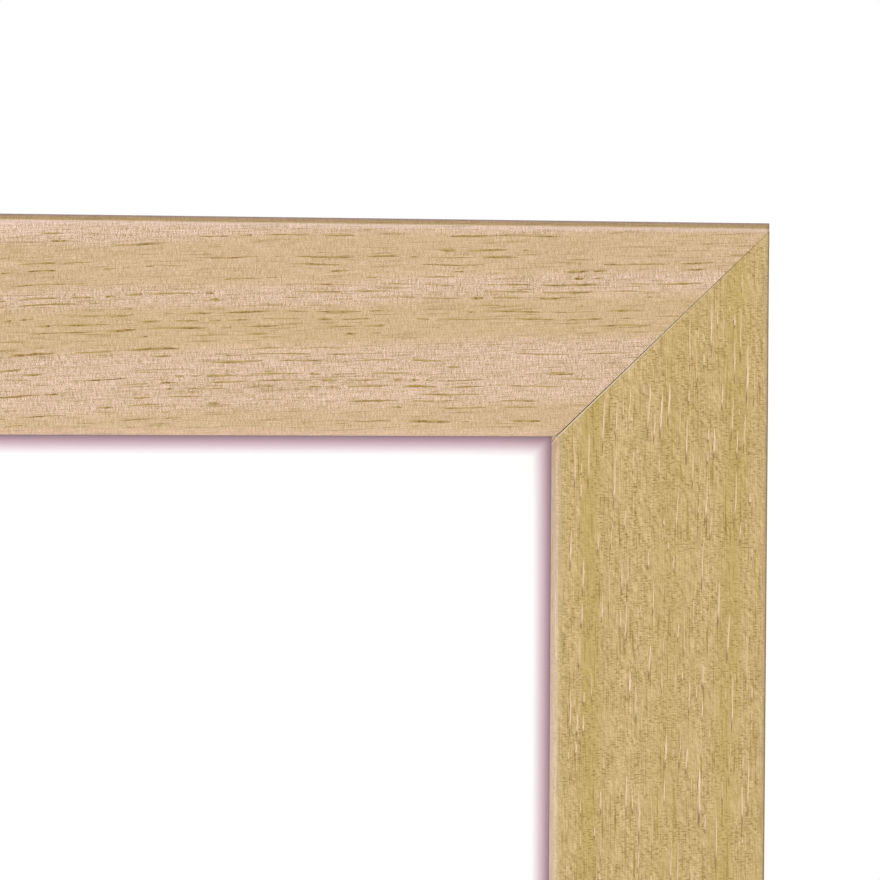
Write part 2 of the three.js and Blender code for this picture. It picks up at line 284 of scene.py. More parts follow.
def triangulated(flat, edges):
    """Triangles between flat edges, each as its middle and the numbers of its points."""
    spots, _, triangles, origin, _, _ = delaunay_2d_cdt(flat, edges, [], 1, CLOSENESS, True)
    for triangle in triangles:
        middle = sum((spots[corner] for corner in triangle), Vector((0, 0))) / 3
        yield middle, [origin[corner][0] for corner in triangle]


def loop_edges(first, count):
    """Edges round a closed loop of points."""
    return [(first + k, first + (k + 1) % count) for k in range(count)]


class Bar:
    """The skin of one mitred bar. Its points are given along the bar, inwards and in depth."""

    def __init__(self, half_length, along, inwards, look, seed):
        self.half_length = half_length
        self.along = along
        self.inwards = inwards
        self.outer_edge = Vector((0, 0, frame_middle))
        self.outer_edge -= inwards * (half_height if inwards.z else half_width)
        self.look = look
        self.dice = random.Random(seed)
        self.section, self.kinds = moulding_section()
        self.stations = round(2 * half_length / STATION_PITCH)
        self.points = []
        self.faces = []
        self.marks = []
        self.smooth = []
        self.end_grain = []
        self.draw_lines()
        for index in range(len(self.section)):
            self.draw_strip(index)
        self.draw_end(True)
        self.draw_end(False)

    def vertex(self, s, v, y):
        """Adds a point and says its number."""
        self.points.append(self.outer_edge + self.along * s + self.inwards * v + Vector((0, y, 0)))
        return len(self.points) - 1

    def face(self, corners, marks=None, smooth=False, end_grain=False):
        """Adds a face. The marks say how dark, where and on which side of a pore its corners lie."""
        self.faces.append(corners)
        self.marks.append(marks or [(0.0, 0.0, 0.0)] * len(corners))
        self.smooth.append(smooth)
        self.end_grain.append(int(end_grain))

    def draw_lines(self):
        """Lines along the bar, one at each point of the section."""
        phase = [self.dice.uniform(0, math.tau) for _ in range(3)]
        self.lines = []
        self.spans = []
        for index, (v, y) in enumerate(self.section):
            low = joint_break(v, SHORT_END_BREAK) - short_end(self.half_length, v)
            high = long_end(self.half_length, v, y) - joint_break(v, LONG_END_BREAK)
            sanded = self.kinds[index] == "round" and self.kinds[index - 1] == "round"
            line = []
            for station in range(self.stations + 1):
                s = low + (high - low) * station / self.stations
                dip = 0
                if sanded and 0 < station < self.stations:
                    first, second = (math.sin(s / SANDING_WAVES[k] + phase[k]) for k in (0, 1))
                    swell = 0.5 + 0.5 * math.sin(s / SANDING_SWELL + phase[2])
                    dip = SANDING_DEPTH * swell * (first + SECOND_WAVE * second) / (1 + SECOND_WAVE)
                line.append(self.vertex(s, v + (dip if v < face_width / 2 else -dip), y + dip / 2))
            self.lines.append(line)
            self.spans.append((low, high))

    def draw_strip(self, index):
        """The strip after a point of the section, of plain quads or planed, with grooves in it."""
        following = (index + 1) % len(self.section)
        near, far = self.lines[index], self.lines[following]
        kind = self.kinds[index]
        if kind in ("flat", "round"):
            for k in range(self.stations):
                self.face((near[k], far[k], far[k + 1], near[k + 1]), smooth=kind == "round")
            return
        v0, y0 = self.section[index]
        v1, y1 = self.section[following]
        width = math.hypot(v1 - v0, y1 - y0)
        step_v = (v1 - v0) / width
        step_y = (y1 - y0) / width

        def reach(across):
            v = min(max(v0 + step_v * across, 0), face_width)
            return -short_end(self.half_length, v), long_end(self.half_length, v, y0 + step_y * across)

        def in_strip(s, a, sink=0):
            return self.vertex(s, v0 + step_v * a - step_y * sink, y0 + step_y * a + step_v * sink)

        plan = []
        owners = []
        order = range(self.stations + 1)
        for line, (low, high), across, numbers in (
            (near, self.spans[index], 0, order),
            (far, self.spans[following], width, reversed(order)),
        ):
            for k in numbers:
                plan.append(Vector((low + (high - low) * k / self.stations, across)))
                owners.append(line[k])
        edges = loop_edges(0, len(plan))
        look = dict(self.look)
        if kind != "face":
            look["rest"] *= BACK_REST_GAIN
        rings = []
        hole_of = {}
        for groove in grooves_of(width, reach, look, self.dice):
            ring = [(s, a - half) for s, a, half, _, _ in groove]
            ring += [(s, a + half) for s, a, half, _, _ in reversed(groove[1:-1])]
            edges += loop_edges(len(plan), len(ring))
            for number in range(len(plan), len(plan) + len(ring)):
                hole_of[number] = len(rings)
            rings.append(ring)
            plan += [Vector(spot) for spot in ring]
            owners += self.draw_groove(groove, in_strip)
        for middle, sources in triangulated(plan, edges):
            holes = {hole_of.get(source) for source in sources}
            in_hole = len(holes) == 1 and None not in holes
            if not (in_hole and inside_outline(middle, rings[holes.pop()])):
                self.face([owners[source] for source in reversed(sources)])

    def draw_groove(self, groove, in_strip):
        """The two walls of a groove, from a narrow bed up to its rim, and the rim's points."""
        left = []
        right = []
        spine = []
        for step, (s, a, half, depth, _) in enumerate(groove):
            if step in (0, PORE_STEPS):
                tip = in_strip(s, a)
                for line in (left, right, spine):
                    line.append(tip)
            else:
                skew = self.dice.uniform(-BED_SKEW, BED_SKEW) * half
                spine.append(in_strip(s, a + skew, depth))
                left.append(in_strip(s, a - half))
                right.append(in_strip(s, a + half))
        darkness = [PALE_DEPTH + (1 - PALE_DEPTH) * station[4] for station in groove]
        for k in range(PORE_STEPS):
            for side, rim in ((0.0, left), (1.0, right)):
                quad = [
                    (line[j], (share * darkness[j], j / PORE_STEPS, across))
                    for line, share, across, j in (
                        (rim, RIM_DARKNESS, side, k),
                        (spine, 1, 0.5, k),
                        (spine, 1, 0.5, k + 1),
                        (rim, RIM_DARKNESS, side, k + 1),
                    )
                ]
                if side:
                    quad.reverse()
                kept = {}
                for corner, mark in quad:
                    kept.setdefault(corner, mark)
                self.face(list(kept), list(kept.values()))
        return left + right[-2:0:-1]

    def draw_end(self, is_long):
        """A sawn end. Its edge is sanded back a hair's breadth, then comes the cut itself."""
        count = len(self.section)
        station, at_tip = (self.stations, LONG_END_BREAK) if is_long else (0, SHORT_END_BREAK)
        ring = []
        flat = []

        def on_cut(spot):
            flat.append(spot)
            stop = self.half_length, spot.x
            s = long_end(*stop, spot.y) if is_long else -short_end(*stop)
            ring.append(self.vertex(s, spot.x, spot.y))

        for index in range(count):
            before, here, after = (Vector(self.section[k % count]) for k in (index - 1, index, index + 1))
            inner = (here - before).normalized() + (after - here).normalized()
            inner = Vector((-inner.y, inner.x)).normalized()
            on_cut(here + inner * joint_break(self.section[index][0], at_tip))
        for index, following in loop_edges(0, count):
            corners = []
            for k in (index, following):
                # The edge faces carry a mark for the painted joint light, which grows towards the inner
                # edge.
                mark = ((self.section[k][0] / face_width) ** JOINT_LIGHT_GROWTH, SAWN_MARK, 0.0)
                pair = [(self.lines[k][station], mark), (ring[k], mark)]
                corners += pair if k == index else pair[::-1]
            if is_long:
                corners.reverse()
            self.face(*zip(*corners))
        outline = [tuple(spot) for spot in flat]
        edges = loop_edges(0, count)
        if is_long:
            # The cut folds where the mitre starts, along a line that follows the rounded corners.
            folds = [k for k in range(count) if self.kinds[k] == "face" or self.kinds[k - 1] == "back"]
            rounds = [k for k in range(count) if self.section[k][0] <= FRONT_ARRIS]
            rounds.sort(key=lambda k: self.section[k][1])
            chain = [folds[0]]
            for k in rounds[1:-1]:
                edges.append((k, len(flat)))
                chain.append(len(flat))
                on_cut(Vector((mitre_start(flat[k].y), flat[k].y)))
            chain.append(folds[1])
            edges += zip(chain, chain[1:])
        for middle, sources in triangulated(flat, edges):
            if inside_outline(middle, outline):
                corners = [ring[source] for source in sources]
                past_start = max(flat[source].x - mitre_start(flat[source].y) for source in sources)
                if not is_long:
                    corners.reverse()
                self.face(corners, end_grain=not is_long or past_start > CUT_SLACK)

    def mesh(self, name):
        """The skin as a mesh, with the marks as an attribute of its corners."""
        mesh = bpy.data.meshes.new(name)
        mesh.from_pydata(self.points, [], self.faces)
        mesh.polygons.foreach_set("use_smooth", self.smooth)
        mesh.polygons.foreach_set("material_index", self.end_grain)
        pore = mesh.attributes.new("pore", "FLOAT_VECTOR", "CORNER")
        pore.data.foreach_set("vector", [part for marks in self.marks for mark in marks for part in mark])
        mesh.update()
        return mesh


def show(name, mesh, materials=()):
    """Puts a mesh into the scene as an object at the origin."""
    for material in materials:
        mesh.materials.append(material)
    piece = bpy.data.objects.new(name, mesh)
    scene.collection.objects.link(piece)
    return piece


def assemble(piece, body, nodes):
    """Says what a finished piece rides on and what it stands for."""
    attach(piece, body)
    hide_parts(*nodes)


def plain_mesh(piece):
    """The piece with its modifiers worked in, as a new mesh without them."""
    bpy.context.view_layer.update()
    depsgraph = bpy.context.evaluated_depsgraph_get()
    return bpy.data.meshes.new_from_object(
        piece.evaluated_get(depsgraph), preserve_all_data_layers=True, depsgraph=depsgraph
    )


def work_in(piece):
    """Works a piece's modifiers into its mesh."""
    mesh = plain_mesh(piece)
    piece.modifiers.clear()
    piece.data = mesh


def cut_by(piece, cutter):
    """Takes the cutter out of a piece."""
    cut = piece.modifiers.new("cut", "BOOLEAN")
    cut.operation = "DIFFERENCE"
    cut.solver = "EXACT"
    cut.object = cutter
    work_in(piece)


class Wire:
    """What a node gives out. A sum written with it becomes nodes of its tree."""

    def __init__(self, made, output=0):
        self.socket = made.outputs[output]
        self.tree = made.id_data

    def __add__(self, other):
        return calc("ADD", self, other)

    def __sub__(self, other):
        return calc("SUBTRACT", self, other)

    def __rsub__(self, other):
        return calc("SUBTRACT", other, self)

    def __mul__(self, other):
        return calc("MULTIPLY", self, other)

    def __truediv__(self, other):
        return calc("DIVIDE", self, other)

    def __lt__(self, other):
        return calc("LESS_THAN", self, other)

    def __abs__(self):
        return calc("ABSOLUTE", self)


def feed(made, inputs):
    """Gives a node its inputs, linked where the value is a wire."""
    for key, value in inputs.items():
        if isinstance(value, Wire):
            made.id_data.links.new(value.socket, made.inputs[key])
        else:
            made.inputs[key].default_value = value


def node(tree, kind, inputs=None, **settings):
    """A new node with its settings and inputs."""
    made = tree.nodes.new(kind)
    for name, value in settings.items():
        setattr(made, name, value)
    feed(made, inputs or {})
    return made


def calc(operation, *values):
    """One step of arithmetic, in the tree of the wires in it."""
    tree = next(value.tree for value in values if isinstance(value, Wire))
    return Wire(node(tree, "ShaderNodeMath", dict(enumerate(values)), operation=operation))


def sloped(value, slope, base):
    """A straight line over a value."""
    return value * slope + base


def rise_over(value, low, high, start=0.0, stop=1.0):
    """A soft step from start to stop as the value goes from low to high."""
    limits = {"Value": value, "From Min": low, "From Max": high, "To Min": start, "To Max": stop}
    return Wire(node(value.tree, "ShaderNodeMapRange", limits, interpolation_type="SMOOTHSTEP"))


def mixed(share, one, other):
    """Two colours mixed by a share."""
    return Wire(node(share.tree, "ShaderNodeMix", {0: share, 6: one, 7: other}, data_type="RGBA"), 2)


def vector_sum(operation, one, other):
    """One step of arithmetic with vectors or colours. SCALE takes a number."""
    key = "Scale" if operation == "SCALE" else 1
    return Wire(node(one.tree, "ShaderNodeVectorMath", {0: one, key: other}, operation=operation))


def noise(vector, scale, detail=2.0, stretch=(1, 1, 1), roughness=0.5, offset=(0, 0, 0)):
    """Soft noise, with the pattern stretched by the given lengths."""
    shape = {"Vector": vector, "Location": offset, "Scale": tuple(1 / length for length in stretch)}
    placed = Wire(node(vector.tree, "ShaderNodeMapping", shape))
    pattern = {"Vector": placed, "Scale": scale, "Detail": detail, "Roughness": roughness}
    return Wire(node(vector.tree, "ShaderNodeTexNoise", pattern))


def axes(vector):
    """The three parts of a vector."""
    parts = node(vector.tree, "ShaderNodeSeparateXYZ", {0: vector})
    return [Wire(parts, label) for label in "XYZ"]


def ramp(value, stops, interpolation="LINEAR"):
    """A colour ramp through (place, colour) stops."""
    made = node(value.tree, "ShaderNodeValToRGB", {0: value})
    made.color_ramp.interpolation = interpolation
    for number, (place, colour) in enumerate(stops):
        elements = made.color_ramp.elements
        stop = elements[number] if number < 2 else elements.new(place)
        stop.position = place
        stop.color = colour
    return made


def bump(height, strength, distance):
    """A normal bent by a height."""
    relief = {"Height": height, "Strength": strength, "Distance": distance}
    return Wire(node(height.tree, "ShaderNodeBump", relief))


def seen(red, green, blue, light=1.0):
    """A colour given as a screen shows it, from 0 to 255, as the paint that gives it in a light."""
    shares = [channel / 255 for channel in (red, green, blue)]
    linear = [share / 12.92 if share < 0.04045 else ((share + 0.055) / 1.055) ** 2.4 for share in shares]
    return (*(share / light for share in linear), 1.0)


def new_group(name, kind, inputs, outputs):
    """A node group with its sockets by kind, what it is given by name, and its output node."""
    tree = bpy.data.node_groups.new(name, kind)
    for way, sockets in (("INPUT", inputs), ("OUTPUT", outputs)):
        for socket_type, labels in sockets.items():
            for label in labels:
                tree.interface.new_socket(label, in_out=way, socket_type="NodeSocket" + socket_type)
    entry = tree.nodes.new("NodeGroupInput")
    given = {label: Wire(entry, label) for labels in inputs.values() for label in labels}
    return tree, given, tree.nodes.new("NodeGroupOutput")


def new_material(name):
    """An empty material, its Principled shader, and the place on the piece."""
    material = bpy.data.materials.new(name)
    material.use_nodes = True
    tree = material.node_tree
    tree.nodes.clear()
    shader = tree.nodes.new("ShaderNodeBsdfPrincipled")
    node(tree, "ShaderNodeOutputMaterial", {"Surface": Wire(shader)})
    return material, shader, Wire(node(tree, "ShaderNodeTexCoord"), "Object")


def resurface(material, shader):
    """Puts another shader at the end of a material."""
    output = next(n for n in material.node_tree.nodes if n.type == "OUTPUT_MATERIAL")
    feed(output, {"Surface": Wire(shader)})


# The figure of the planed wood: fine fibres and streaks along the grain, ripple marks from the
# planer across it, slanted waves and a fleck. A pattern has its scale, its detail, its lengths in
# millimetres along, through and across the grain, its roughness and its offset.
FIGURE = {
    "Fibre": (1.0, 2.0, (2.6, 0.25, 0.085), 0.55),
    "Fleck": (1.0, 1.0, (0.09, 0.08, 0.075), 0.6),
    "Drift": (1.0, 2.0, (16.0, 2.0, 1.6), 0.5),
    "Hatch": (1.0, 1.0, (0.15, 0.6, 0.6), 0.4),
    "Streak": (1.0, 2.0, (5.5, 0.5, 0.2), 0.6, (3, 5, 7)),
    "Cloud": (1.0, 2.0, (3.6, 2.0, 2.4), 0.5, (9, 2, 4)),
    "Ripple": (1.0, 1.5, (0.13, 0.5, 0.45), 0.5, (1, 8, 3)),
}
WAVE = (1.0, 2.0, (1.2, 0.5, 0.3), 0.55, (6, 2, 9))
WAVE_SLANT = math.radians(-27)
DRIFT_GAIN = 0.2
TONE_TINT = (0.95, 1.0, 1.6)
EVEN = (1, 1, 1)
MEAN = 0.5
LATE_SWING = 0.75
EARLY_SWING = 0.5
STREAK_SHOWS = (0.56, 0.7)
RIPPLE_SHOWS = (0.5, 0.66)
CLOUD_SHOWS = (0.34, 0.56)
RIPPLE_RELIEF = 0.6
STREAK_RELIEF = 0.5
figure, given, result = new_group(
    "planed_wood_figure",
    "ShaderNodeTree",
    {
        "Vector": ["Grain"],
        "Color": ["Early Wood", "Late Wood", "Streak Colour", "Ripple Colour"],
        "Float": ["Early", "Fibre", "Streak", "Ripple", "Hatch", "Fleck", "Wave"],
    },
    {"Color": ["Colour"], "Float": ["Height"]},
)
patterns = {label: noise(given["Grain"], *pattern) for label, pattern in FIGURE.items()}
slant = {"Vector": given["Grain"], "Rotation": (0, WAVE_SLANT, 0)}
slanted = node(figure, "ShaderNodeMapping", slant, vector_type="TEXTURE")
patterns["Wave"] = noise(Wire(slanted), *WAVE)
streaks = rise_over(patterns["Streak"], *STREAK_SHOWS)
ripples = rise_over(patterns["Ripple"], *RIPPLE_SHOWS) * rise_over(patterns["Cloud"], *CLOUD_SHOWS)
swing = (patterns["Drift"] - MEAN) * DRIFT_GAIN
for label in ("Fibre", "Fleck", "Hatch", "Wave"):
    swing = (patterns[label] - MEAN) * given[label] + swing
swing = swing * (given["Early"] * EARLY_SWING + LATE_SWING)
body = mixed(given["Early"], given["Late Wood"], given["Early Wood"])
body = mixed(streaks * given["Streak"], body, given["Streak Colour"])
body = mixed(ripples * given["Ripple"], body, given["Ripple Colour"])
tone = node(figure, "ShaderNodeVectorMath", {0: swing, 1: TONE_TINT, 2: EVEN}, operation="MULTIPLY_ADD")
relief = patterns["Fibre"] - ripples * RIPPLE_RELIEF - streaks * STREAK_RELIEF
feed(result, {"Colour": vector_sum("MULTIPLY", body, Wire(tone)), "Height": relief})

DAYLIGHT = 1.24
JOINT_LINE_START = 0.03 * MM
JOINT_LINE_SLOPE = 0.19
PAINTED_JOINT_LINES = (("dark_side", 0.0, 0.05 * MM), ("sawn_edge", 0.12 * MM, 0.07 * MM))
BAND_WANDER = 3.0
FAR_SIDE_SHIFT = 5.0
WANDER = (1.0, 2.0, (30, 8, 8))
WARM_PATCHES = (1.0, 1.0, (5.0, 1.2, 1.2), 0.5, (2, 6, 1))
CROSS_WALLS = (1.0, 0.0, (0.26, 0.3, 0.3), 0.5, (4, 1, 7))
WOOD_ROUGHNESS = (-0.16, 0.66)
WOOD_RELIEF = (0.25, 0.04 * MM)
WOOD_COAT = {"IOR": 1.42, "Coat Weight": 0.05, "Coat Roughness": 0.5}

# Where each pattern or mark starts to show, and where it shows fully.
PAINTED_EDGE_DEPTH = (front_y + 0.45 * MM, front_y + 0.7 * MM)
INNER_SIDE = (face_width / MM - 0.1, face_width / MM - 0.05)
PALE_WOOD = (0.2, 0.55)
PALE_WOOD_LIGHT = (0.82, 1.12)
WARM_SHOWS = (0.52, 0.62)
WALLS_SHOW = (0.46, 0.6)
CORE_SHOWS = (0.3, 0.85)
PORE_END_SHOWS = (0.62, 0.85)
PORE_SIDE_SHOWS = (0.6, 0.85)
SHADED_PORE = (0.25, 0.4)
PORE_SHOWS = (0.02, 0.2)


def wood_colour(red, green, blue):
    """A colour of the wood as it shows on the front in the studio's light."""
    return seen(red, green, blue, DAYLIGHT)


def wood_finish(name, look):
    """Bare sanded wood. The look turns its grain along the bar and sets its bands, its colours and the
    painted light and shade of its edges and pores.
    """
    material, shader, where = new_material(name)
    tree = shader.id_data
    paint = {label: wood_colour(*colour) for label, colour in look["colours"].items()}
    x, depth, z = axes(where)
    level_z = z - frame_middle
    turn = math.radians(look["lean"]) + (math.pi / 2 if look["upright"] else 0)
    turning = {"Vector": where, "Rotation": (0, turn, 0), "Scale": (1 / MM, 1 / MM, 1 / MM)}
    grain = Wire(node(tree, "ShaderNodeMapping", turning))
    along, beside, half = (z, x, half_width) if look["upright"] else (x, level_z, half_height)
    inwards = (half - abs(beside)) / MM

    # Growth bands, by their place across the board, which drifts along it.
    across = along * (math.tan(math.radians(look["lean"])) / MM) + inwards
    across = noise(grain, *WANDER) * BAND_WANDER + across + (beside < 0.0) * FAR_SIDE_SHIFT
    first, last = look["bands"][0][0], look["bands"][-1][0]
    bands = [((spot - first) / (last - first), (share, share, share, 1)) for spot, share in look["bands"]]
    early = Wire(ramp((across - first) / (last - first), bands, "EASE"))
    planed = node(tree, "ShaderNodeGroup", {}, node_tree=figure)
    feed(planed, {"Grain": grain, "Early": early, **look["gains"]})
    feed(planed, {label: paint[label] for label in paint if label in planed.inputs})
    wood = Wire(planed, "Colour")
    height = Wire(planed, "Height")

    # Painted shade and highlights near the two edges of the front and on the side of the lip, such as a
    # dark strip on the outer arris and a pale highlight on the inner one.
    board = face_width / MM
    edge_light_ramp = [(spot / board, (*wood_colour(*tint)[:3], share)) for spot, tint, share in look["painted_edge_light"]]
    edge_light_ramp = ramp(inwards / board, edge_light_ramp)
    at_front = rise_over(depth, *PAINTED_EDGE_DEPTH, 1.0, 0.0)
    at_lip = rise_over(inwards, *INNER_SIDE) * (depth < lip_back_y)
    edge_light_share = Wire(edge_light_ramp, "Alpha") * calc("MAXIMUM", at_front, at_lip)
    green = Wire(node(tree, "ShaderNodeSeparateColor", {0: wood}), 1)
    fine = rise_over(green, *PALE_WOOD, *PALE_WOOD_LIGHT)
    edge_lit = vector_sum("SCALE", mixed(edge_light_share, wood, Wire(edge_light_ramp, "Color")), fine)
    surface = mixed(edge_light_share, wood, edge_lit)

    # On the upright bars a joint line runs on past the mitre across the side of the lip, painted as a
    # dark line of shade with a highlight beside it.
    if look["upright"]:
        below = half_height - face_width - abs(level_z)
        off = below - ((depth - front_y) * JOINT_LINE_SLOPE + JOINT_LINE_START)
        for label, shift, half_line in PAINTED_JOINT_LINES:
            surface = mixed(calc("COMPARE", off, shift, half_line) * at_lip, surface, paint[label])

    # The pores' colours: a bed and paler tails, and a painted shade on one end and one side of each
    # groove, strongest on the upright bars. The beds are painted dark, as in shade, on the rails and pale,
    # as if lit, on the upright bars.
    dark, place, side = axes(Wire(node(tree, "ShaderNodeAttribute", attribute_name="pore"), "Vector"))
    bed = mixed(rise_over(noise(grain, *WARM_PATCHES), *WARM_SHOWS), paint["bed"], paint["warm_bed"])
    walls = rise_over(noise(grain, *CROSS_WALLS), *WALLS_SHOW)
    core = rise_over(dark, *CORE_SHOWS) * (walls * -look["cross_walls"] + 1.0)
    side_shade = rise_over(side, *PORE_SIDE_SHOWS) * rise_over(dark, *SHADED_PORE)
    shade = calc("MAXIMUM", rise_over(place, *PORE_END_SHOWS), side_shade) * look["pore_shade"]
    bottom = mixed(shade, mixed(core, paint["tail"], bed), paint["dark_side"])
    # The sanded-back edges of the joints take a painted highlight on the upright bars and a painted shade
    # on the rails.
    bottom = mixed(place < SAWN_MARK / 2, bottom, paint["sawn_edge"])
    colour = mixed(rise_over(dark, *PORE_SHOWS), surface, bottom)
    feed(shader, {"Base Color": colour, "Roughness": sloped(height, *WOOD_ROUGHNESS), **WOOD_COAT})
    feed(shader, {"Normal": bump(height, *WOOD_RELIEF)})
    return material


# Bands are (place across in millimetres, share of early wood), and the painted edge light and
# shade are (distance from the outer edge in millimetres, colour, share).
# The rails' and the stiles' colours are one wood painted in two lights: paler and pinker along the rails.
rail_wood = wood_finish(
    "rail_wood",
    {
        "upright": False,
        "lean": 2.0,
        "bands": (
            (-8.0, 0.3), (-4.0, 1.0), (-1.0, 0.1), (2.0, 0.5), (5.0, 1.0), (6.8, 1.0), (8.0, 0.1),
            (11.0, 0.2), (12.3, 0.9), (13.2, 0.8), (14.5, 0.0), (17.0, 0.0), (18.5, 0.9), (22.5, 0.8),
            (24.0, 0.2), (27.0, 0.1), (29.0, 1.0), (33.0, 0.6),
        ),
        "colours": {
            "Early Wood": (219, 189, 162),
            "Late Wood": (210, 181, 139),
            "Streak Colour": (176, 149, 96),
            "Ripple Colour": (190, 161, 118),
            "bed": (140, 112, 44),
            "warm_bed": (150, 104, 46),
            "tail": (188, 161, 104),
            "sawn_edge": (112, 82, 52),
            "dark_side": (120, 88, 48),
        },
        "gains": {"Fibre": 0.8, "Streak": 0.9, "Ripple": 0.2, "Hatch": 0.8, "Fleck": 2.1},
        "painted_edge_light": (
            (0.0, (182, 156, 160), 1.0), (0.12, (180, 152, 140), 1.0), (0.22, (180, 150, 112), 0.95),
            (0.46, (174, 144, 96), 0.95), (0.54, (186, 160, 118), 0.95), (0.62, (224, 198, 168), 0.9),
            (0.72, (232, 204, 188), 0.85), (0.9, (230, 200, 184), 0.6), (1.15, (225, 196, 172), 0.0),
            (19.1, (222, 190, 158), 0.0), (19.4, (222, 190, 158), 0.7), (19.9, (228, 190, 162), 0.9),
            (20.0, (222, 186, 164), 0.9),
        ),
        "pore_shade": 0.25,
        "cross_walls": 0.7,
    },
)
# The stiles are the rails' wood painted in a darker, yellower light, with pale lit pores.
stile_wood = wood_finish(
    "stile_wood",
    {
        "upright": True,
        "lean": 0.7,
        "bands": (
            (-3.0, 0.2), (2.0, 0.4), (4.5, 0.8), (6.5, 0.1), (8.5, 0.9), (12.0, 0.5), (15.0, 1.0),
            (18.2, 0.7), (18.8, 0.0), (20.0, 0.0), (20.6, 0.9), (24.0, 0.5),
        ),
        "colours": {
            "Early Wood": (205, 178, 125),
            "Late Wood": (197, 170, 107),
            "Streak Colour": (172, 145, 81),
            "Ripple Colour": (160, 134, 70),
            "bed": (247, 219, 186),
            "warm_bed": (236, 206, 178),
            "tail": (224, 196, 152),
            "sawn_edge": (255, 236, 204),
            "dark_side": (140, 110, 62),
        },
        "gains": {"Fibre": 0.95, "Streak": 1.1, "Ripple": 0.85, "Hatch": 0.4, "Fleck": 1.0, "Wave": 0.7},
        "painted_edge_light": (
            (0.0, (158, 128, 84), 1.0), (0.1, (170, 142, 98), 1.0), (0.2, (206, 178, 130), 0.9),
            (0.34, (218, 190, 146), 0.8), (0.6, (214, 184, 144), 0.55), (0.95, (204, 176, 124), 0.0),
            (19.2, (206, 178, 130), 0.0), (19.45, (214, 187, 143), 0.7), (19.7, (205, 178, 134), 0.9),
            (19.85, (224, 196, 164), 0.9), (19.97, (230, 200, 168), 0.9), (20.0, (228, 197, 164), 0.9),
        ),
        "pore_shade": 0.8,
        "cross_walls": 0.35,
    },
)


END_CELLS = {"Scale": 0.9 / MM, "Randomness": 0.9}
END_CELL_WALL = (0.12, 0.26)
END_RINGS = (0.6 / MM, 3.0)
END_PORE_COLOUR = wood_colour(150, 120, 78)
END_WOOD = (wood_colour(200, 168, 124), wood_colour(240, 212, 176))
END_ROUGHNESS = (0.2, 0.6)
END_RELIEF = (0.3, 0.04 * MM)


def end_grain_finish():
    """Sawn end grain: small round pores in paler wood."""
    material, shader, where = new_material("sawn_end_grain")
    cells = node(shader.id_data, "ShaderNodeTexVoronoi", {"Vector": where, **END_CELLS})
    dots = rise_over(Wire(cells, "Distance"), *END_CELL_WALL)
    rings = noise(where, *END_RINGS)
    colour = mixed(dots, END_PORE_COLOUR, mixed(rings, *END_WOOD))
    feed(shader, {"Base Color": colour, "Roughness": sloped(rings, *END_ROUGHNESS)})
    feed(shader, {"Normal": bump(dots, *END_RELIEF)})
    return material


def bridge(shape, rings, around=True, along=False):
    """Faces between rings of like points, closed as told. A ring of one point is a pole, kept once."""
    for pair in zip(rings, rings[1:] + rings[: int(along)]):
        sides = max(len(ring) for ring in pair)
        for k in range(sides if around else sides - 1):
            here, after = ([ring[j % len(ring)] for ring in pair] for j in (k, (k + 1) % sides))
            shape.faces.new(tuple(dict.fromkeys((here[0], after[0], after[1], here[1]))))


def prism(shape, rings):
    """A solid between two flat rings."""
    for ring in rings:
        shape.faces.new(ring)
    bridge(shape, rings)


def written(shape, name, smooth=False):
    """The shape as a mesh with its faces turned outwards."""
    bmesh.ops.recalc_face_normals(shape, faces=shape.faces)
    for each in shape.faces:
        each.smooth = smooth
    mesh = bpy.data.meshes.new(name)
    shape.to_mesh(mesh)
    shape.free()
    return mesh


# Slots for the V-nails, two in each corner, a little wider than the nail all round.
NAIL_THICKNESS = 0.5 * MM
NAIL_SLACK = 0.15 * MM
NAILS = {}
for corner, across, up in (
    ("top_right", 1, 1),
    ("bottom_right", 1, -1),
    ("bottom_left", -1, -1),
    ("top_left", -1, 1),
):
    for place in ("outer", "inner"):
        NAILS[f"{corner}_{place}_vnail"] = (across, up)
slots = bmesh.new()
for name, (across, up) in NAILS.items():
    low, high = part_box(name)
    leg = high.x - low.x + NAIL_SLACK
    near = -NAIL_SLACK
    thick = NAIL_THICKNESS + NAIL_SLACK
    root = Vector((low.x if across > 0 else high.x, 0, low.z if up > 0 else high.z))
    outline = ((near, near), (leg, near), (leg, thick), (thick, thick), (thick, leg), (near, leg))
    rings = []
    for y in (low.y - NAIL_SLACK, back_y + NAIL_SLACK):
        rings.append([slots.verts.new(root + Vector((across * a, y, up * b))) for a, b in outline])
    prism(slots, rings)
slot_cutter = show("vnail_slots", written(slots, "vnail_slots"))

end_grain = end_grain_finish()
for name, half_length, along, inwards, look, wood, seed in (
    ("top_rail", half_width, Vector((1, 0, 0)), -UP, RAIL_PORES, rail_wood, 11),
    ("right_stile", half_height, -UP, Vector((-1, 0, 0)), STILE_PORES, stile_wood, 23),
    ("bottom_rail", half_width, Vector((-1, 0, 0)), UP, RAIL_PORES, rail_wood, 37),
    ("left_stile", half_height, UP, Vector((1, 0, 0)), STILE_PORES, stile_wood, 41),
):
    skin = Bar(half_length, along, inwards, look, seed).mesh(name + "_bar")
    moulding = show(name + "_moulding", skin, [wood, end_grain])
    cut_by(moulding, slot_cutter)
    assemble(moulding, "frame", [name])
bpy.data.objects.remove(slot_cutter)

# The poster. One sheet of smooth matt paper, plain white. On its front a soft mauve shade is painted
# along the opening of the lip, which stands proud of it, over the real shade that the lip casts. The
# margin under the lip stays white.
poster_low, poster_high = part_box("poster_sheet")

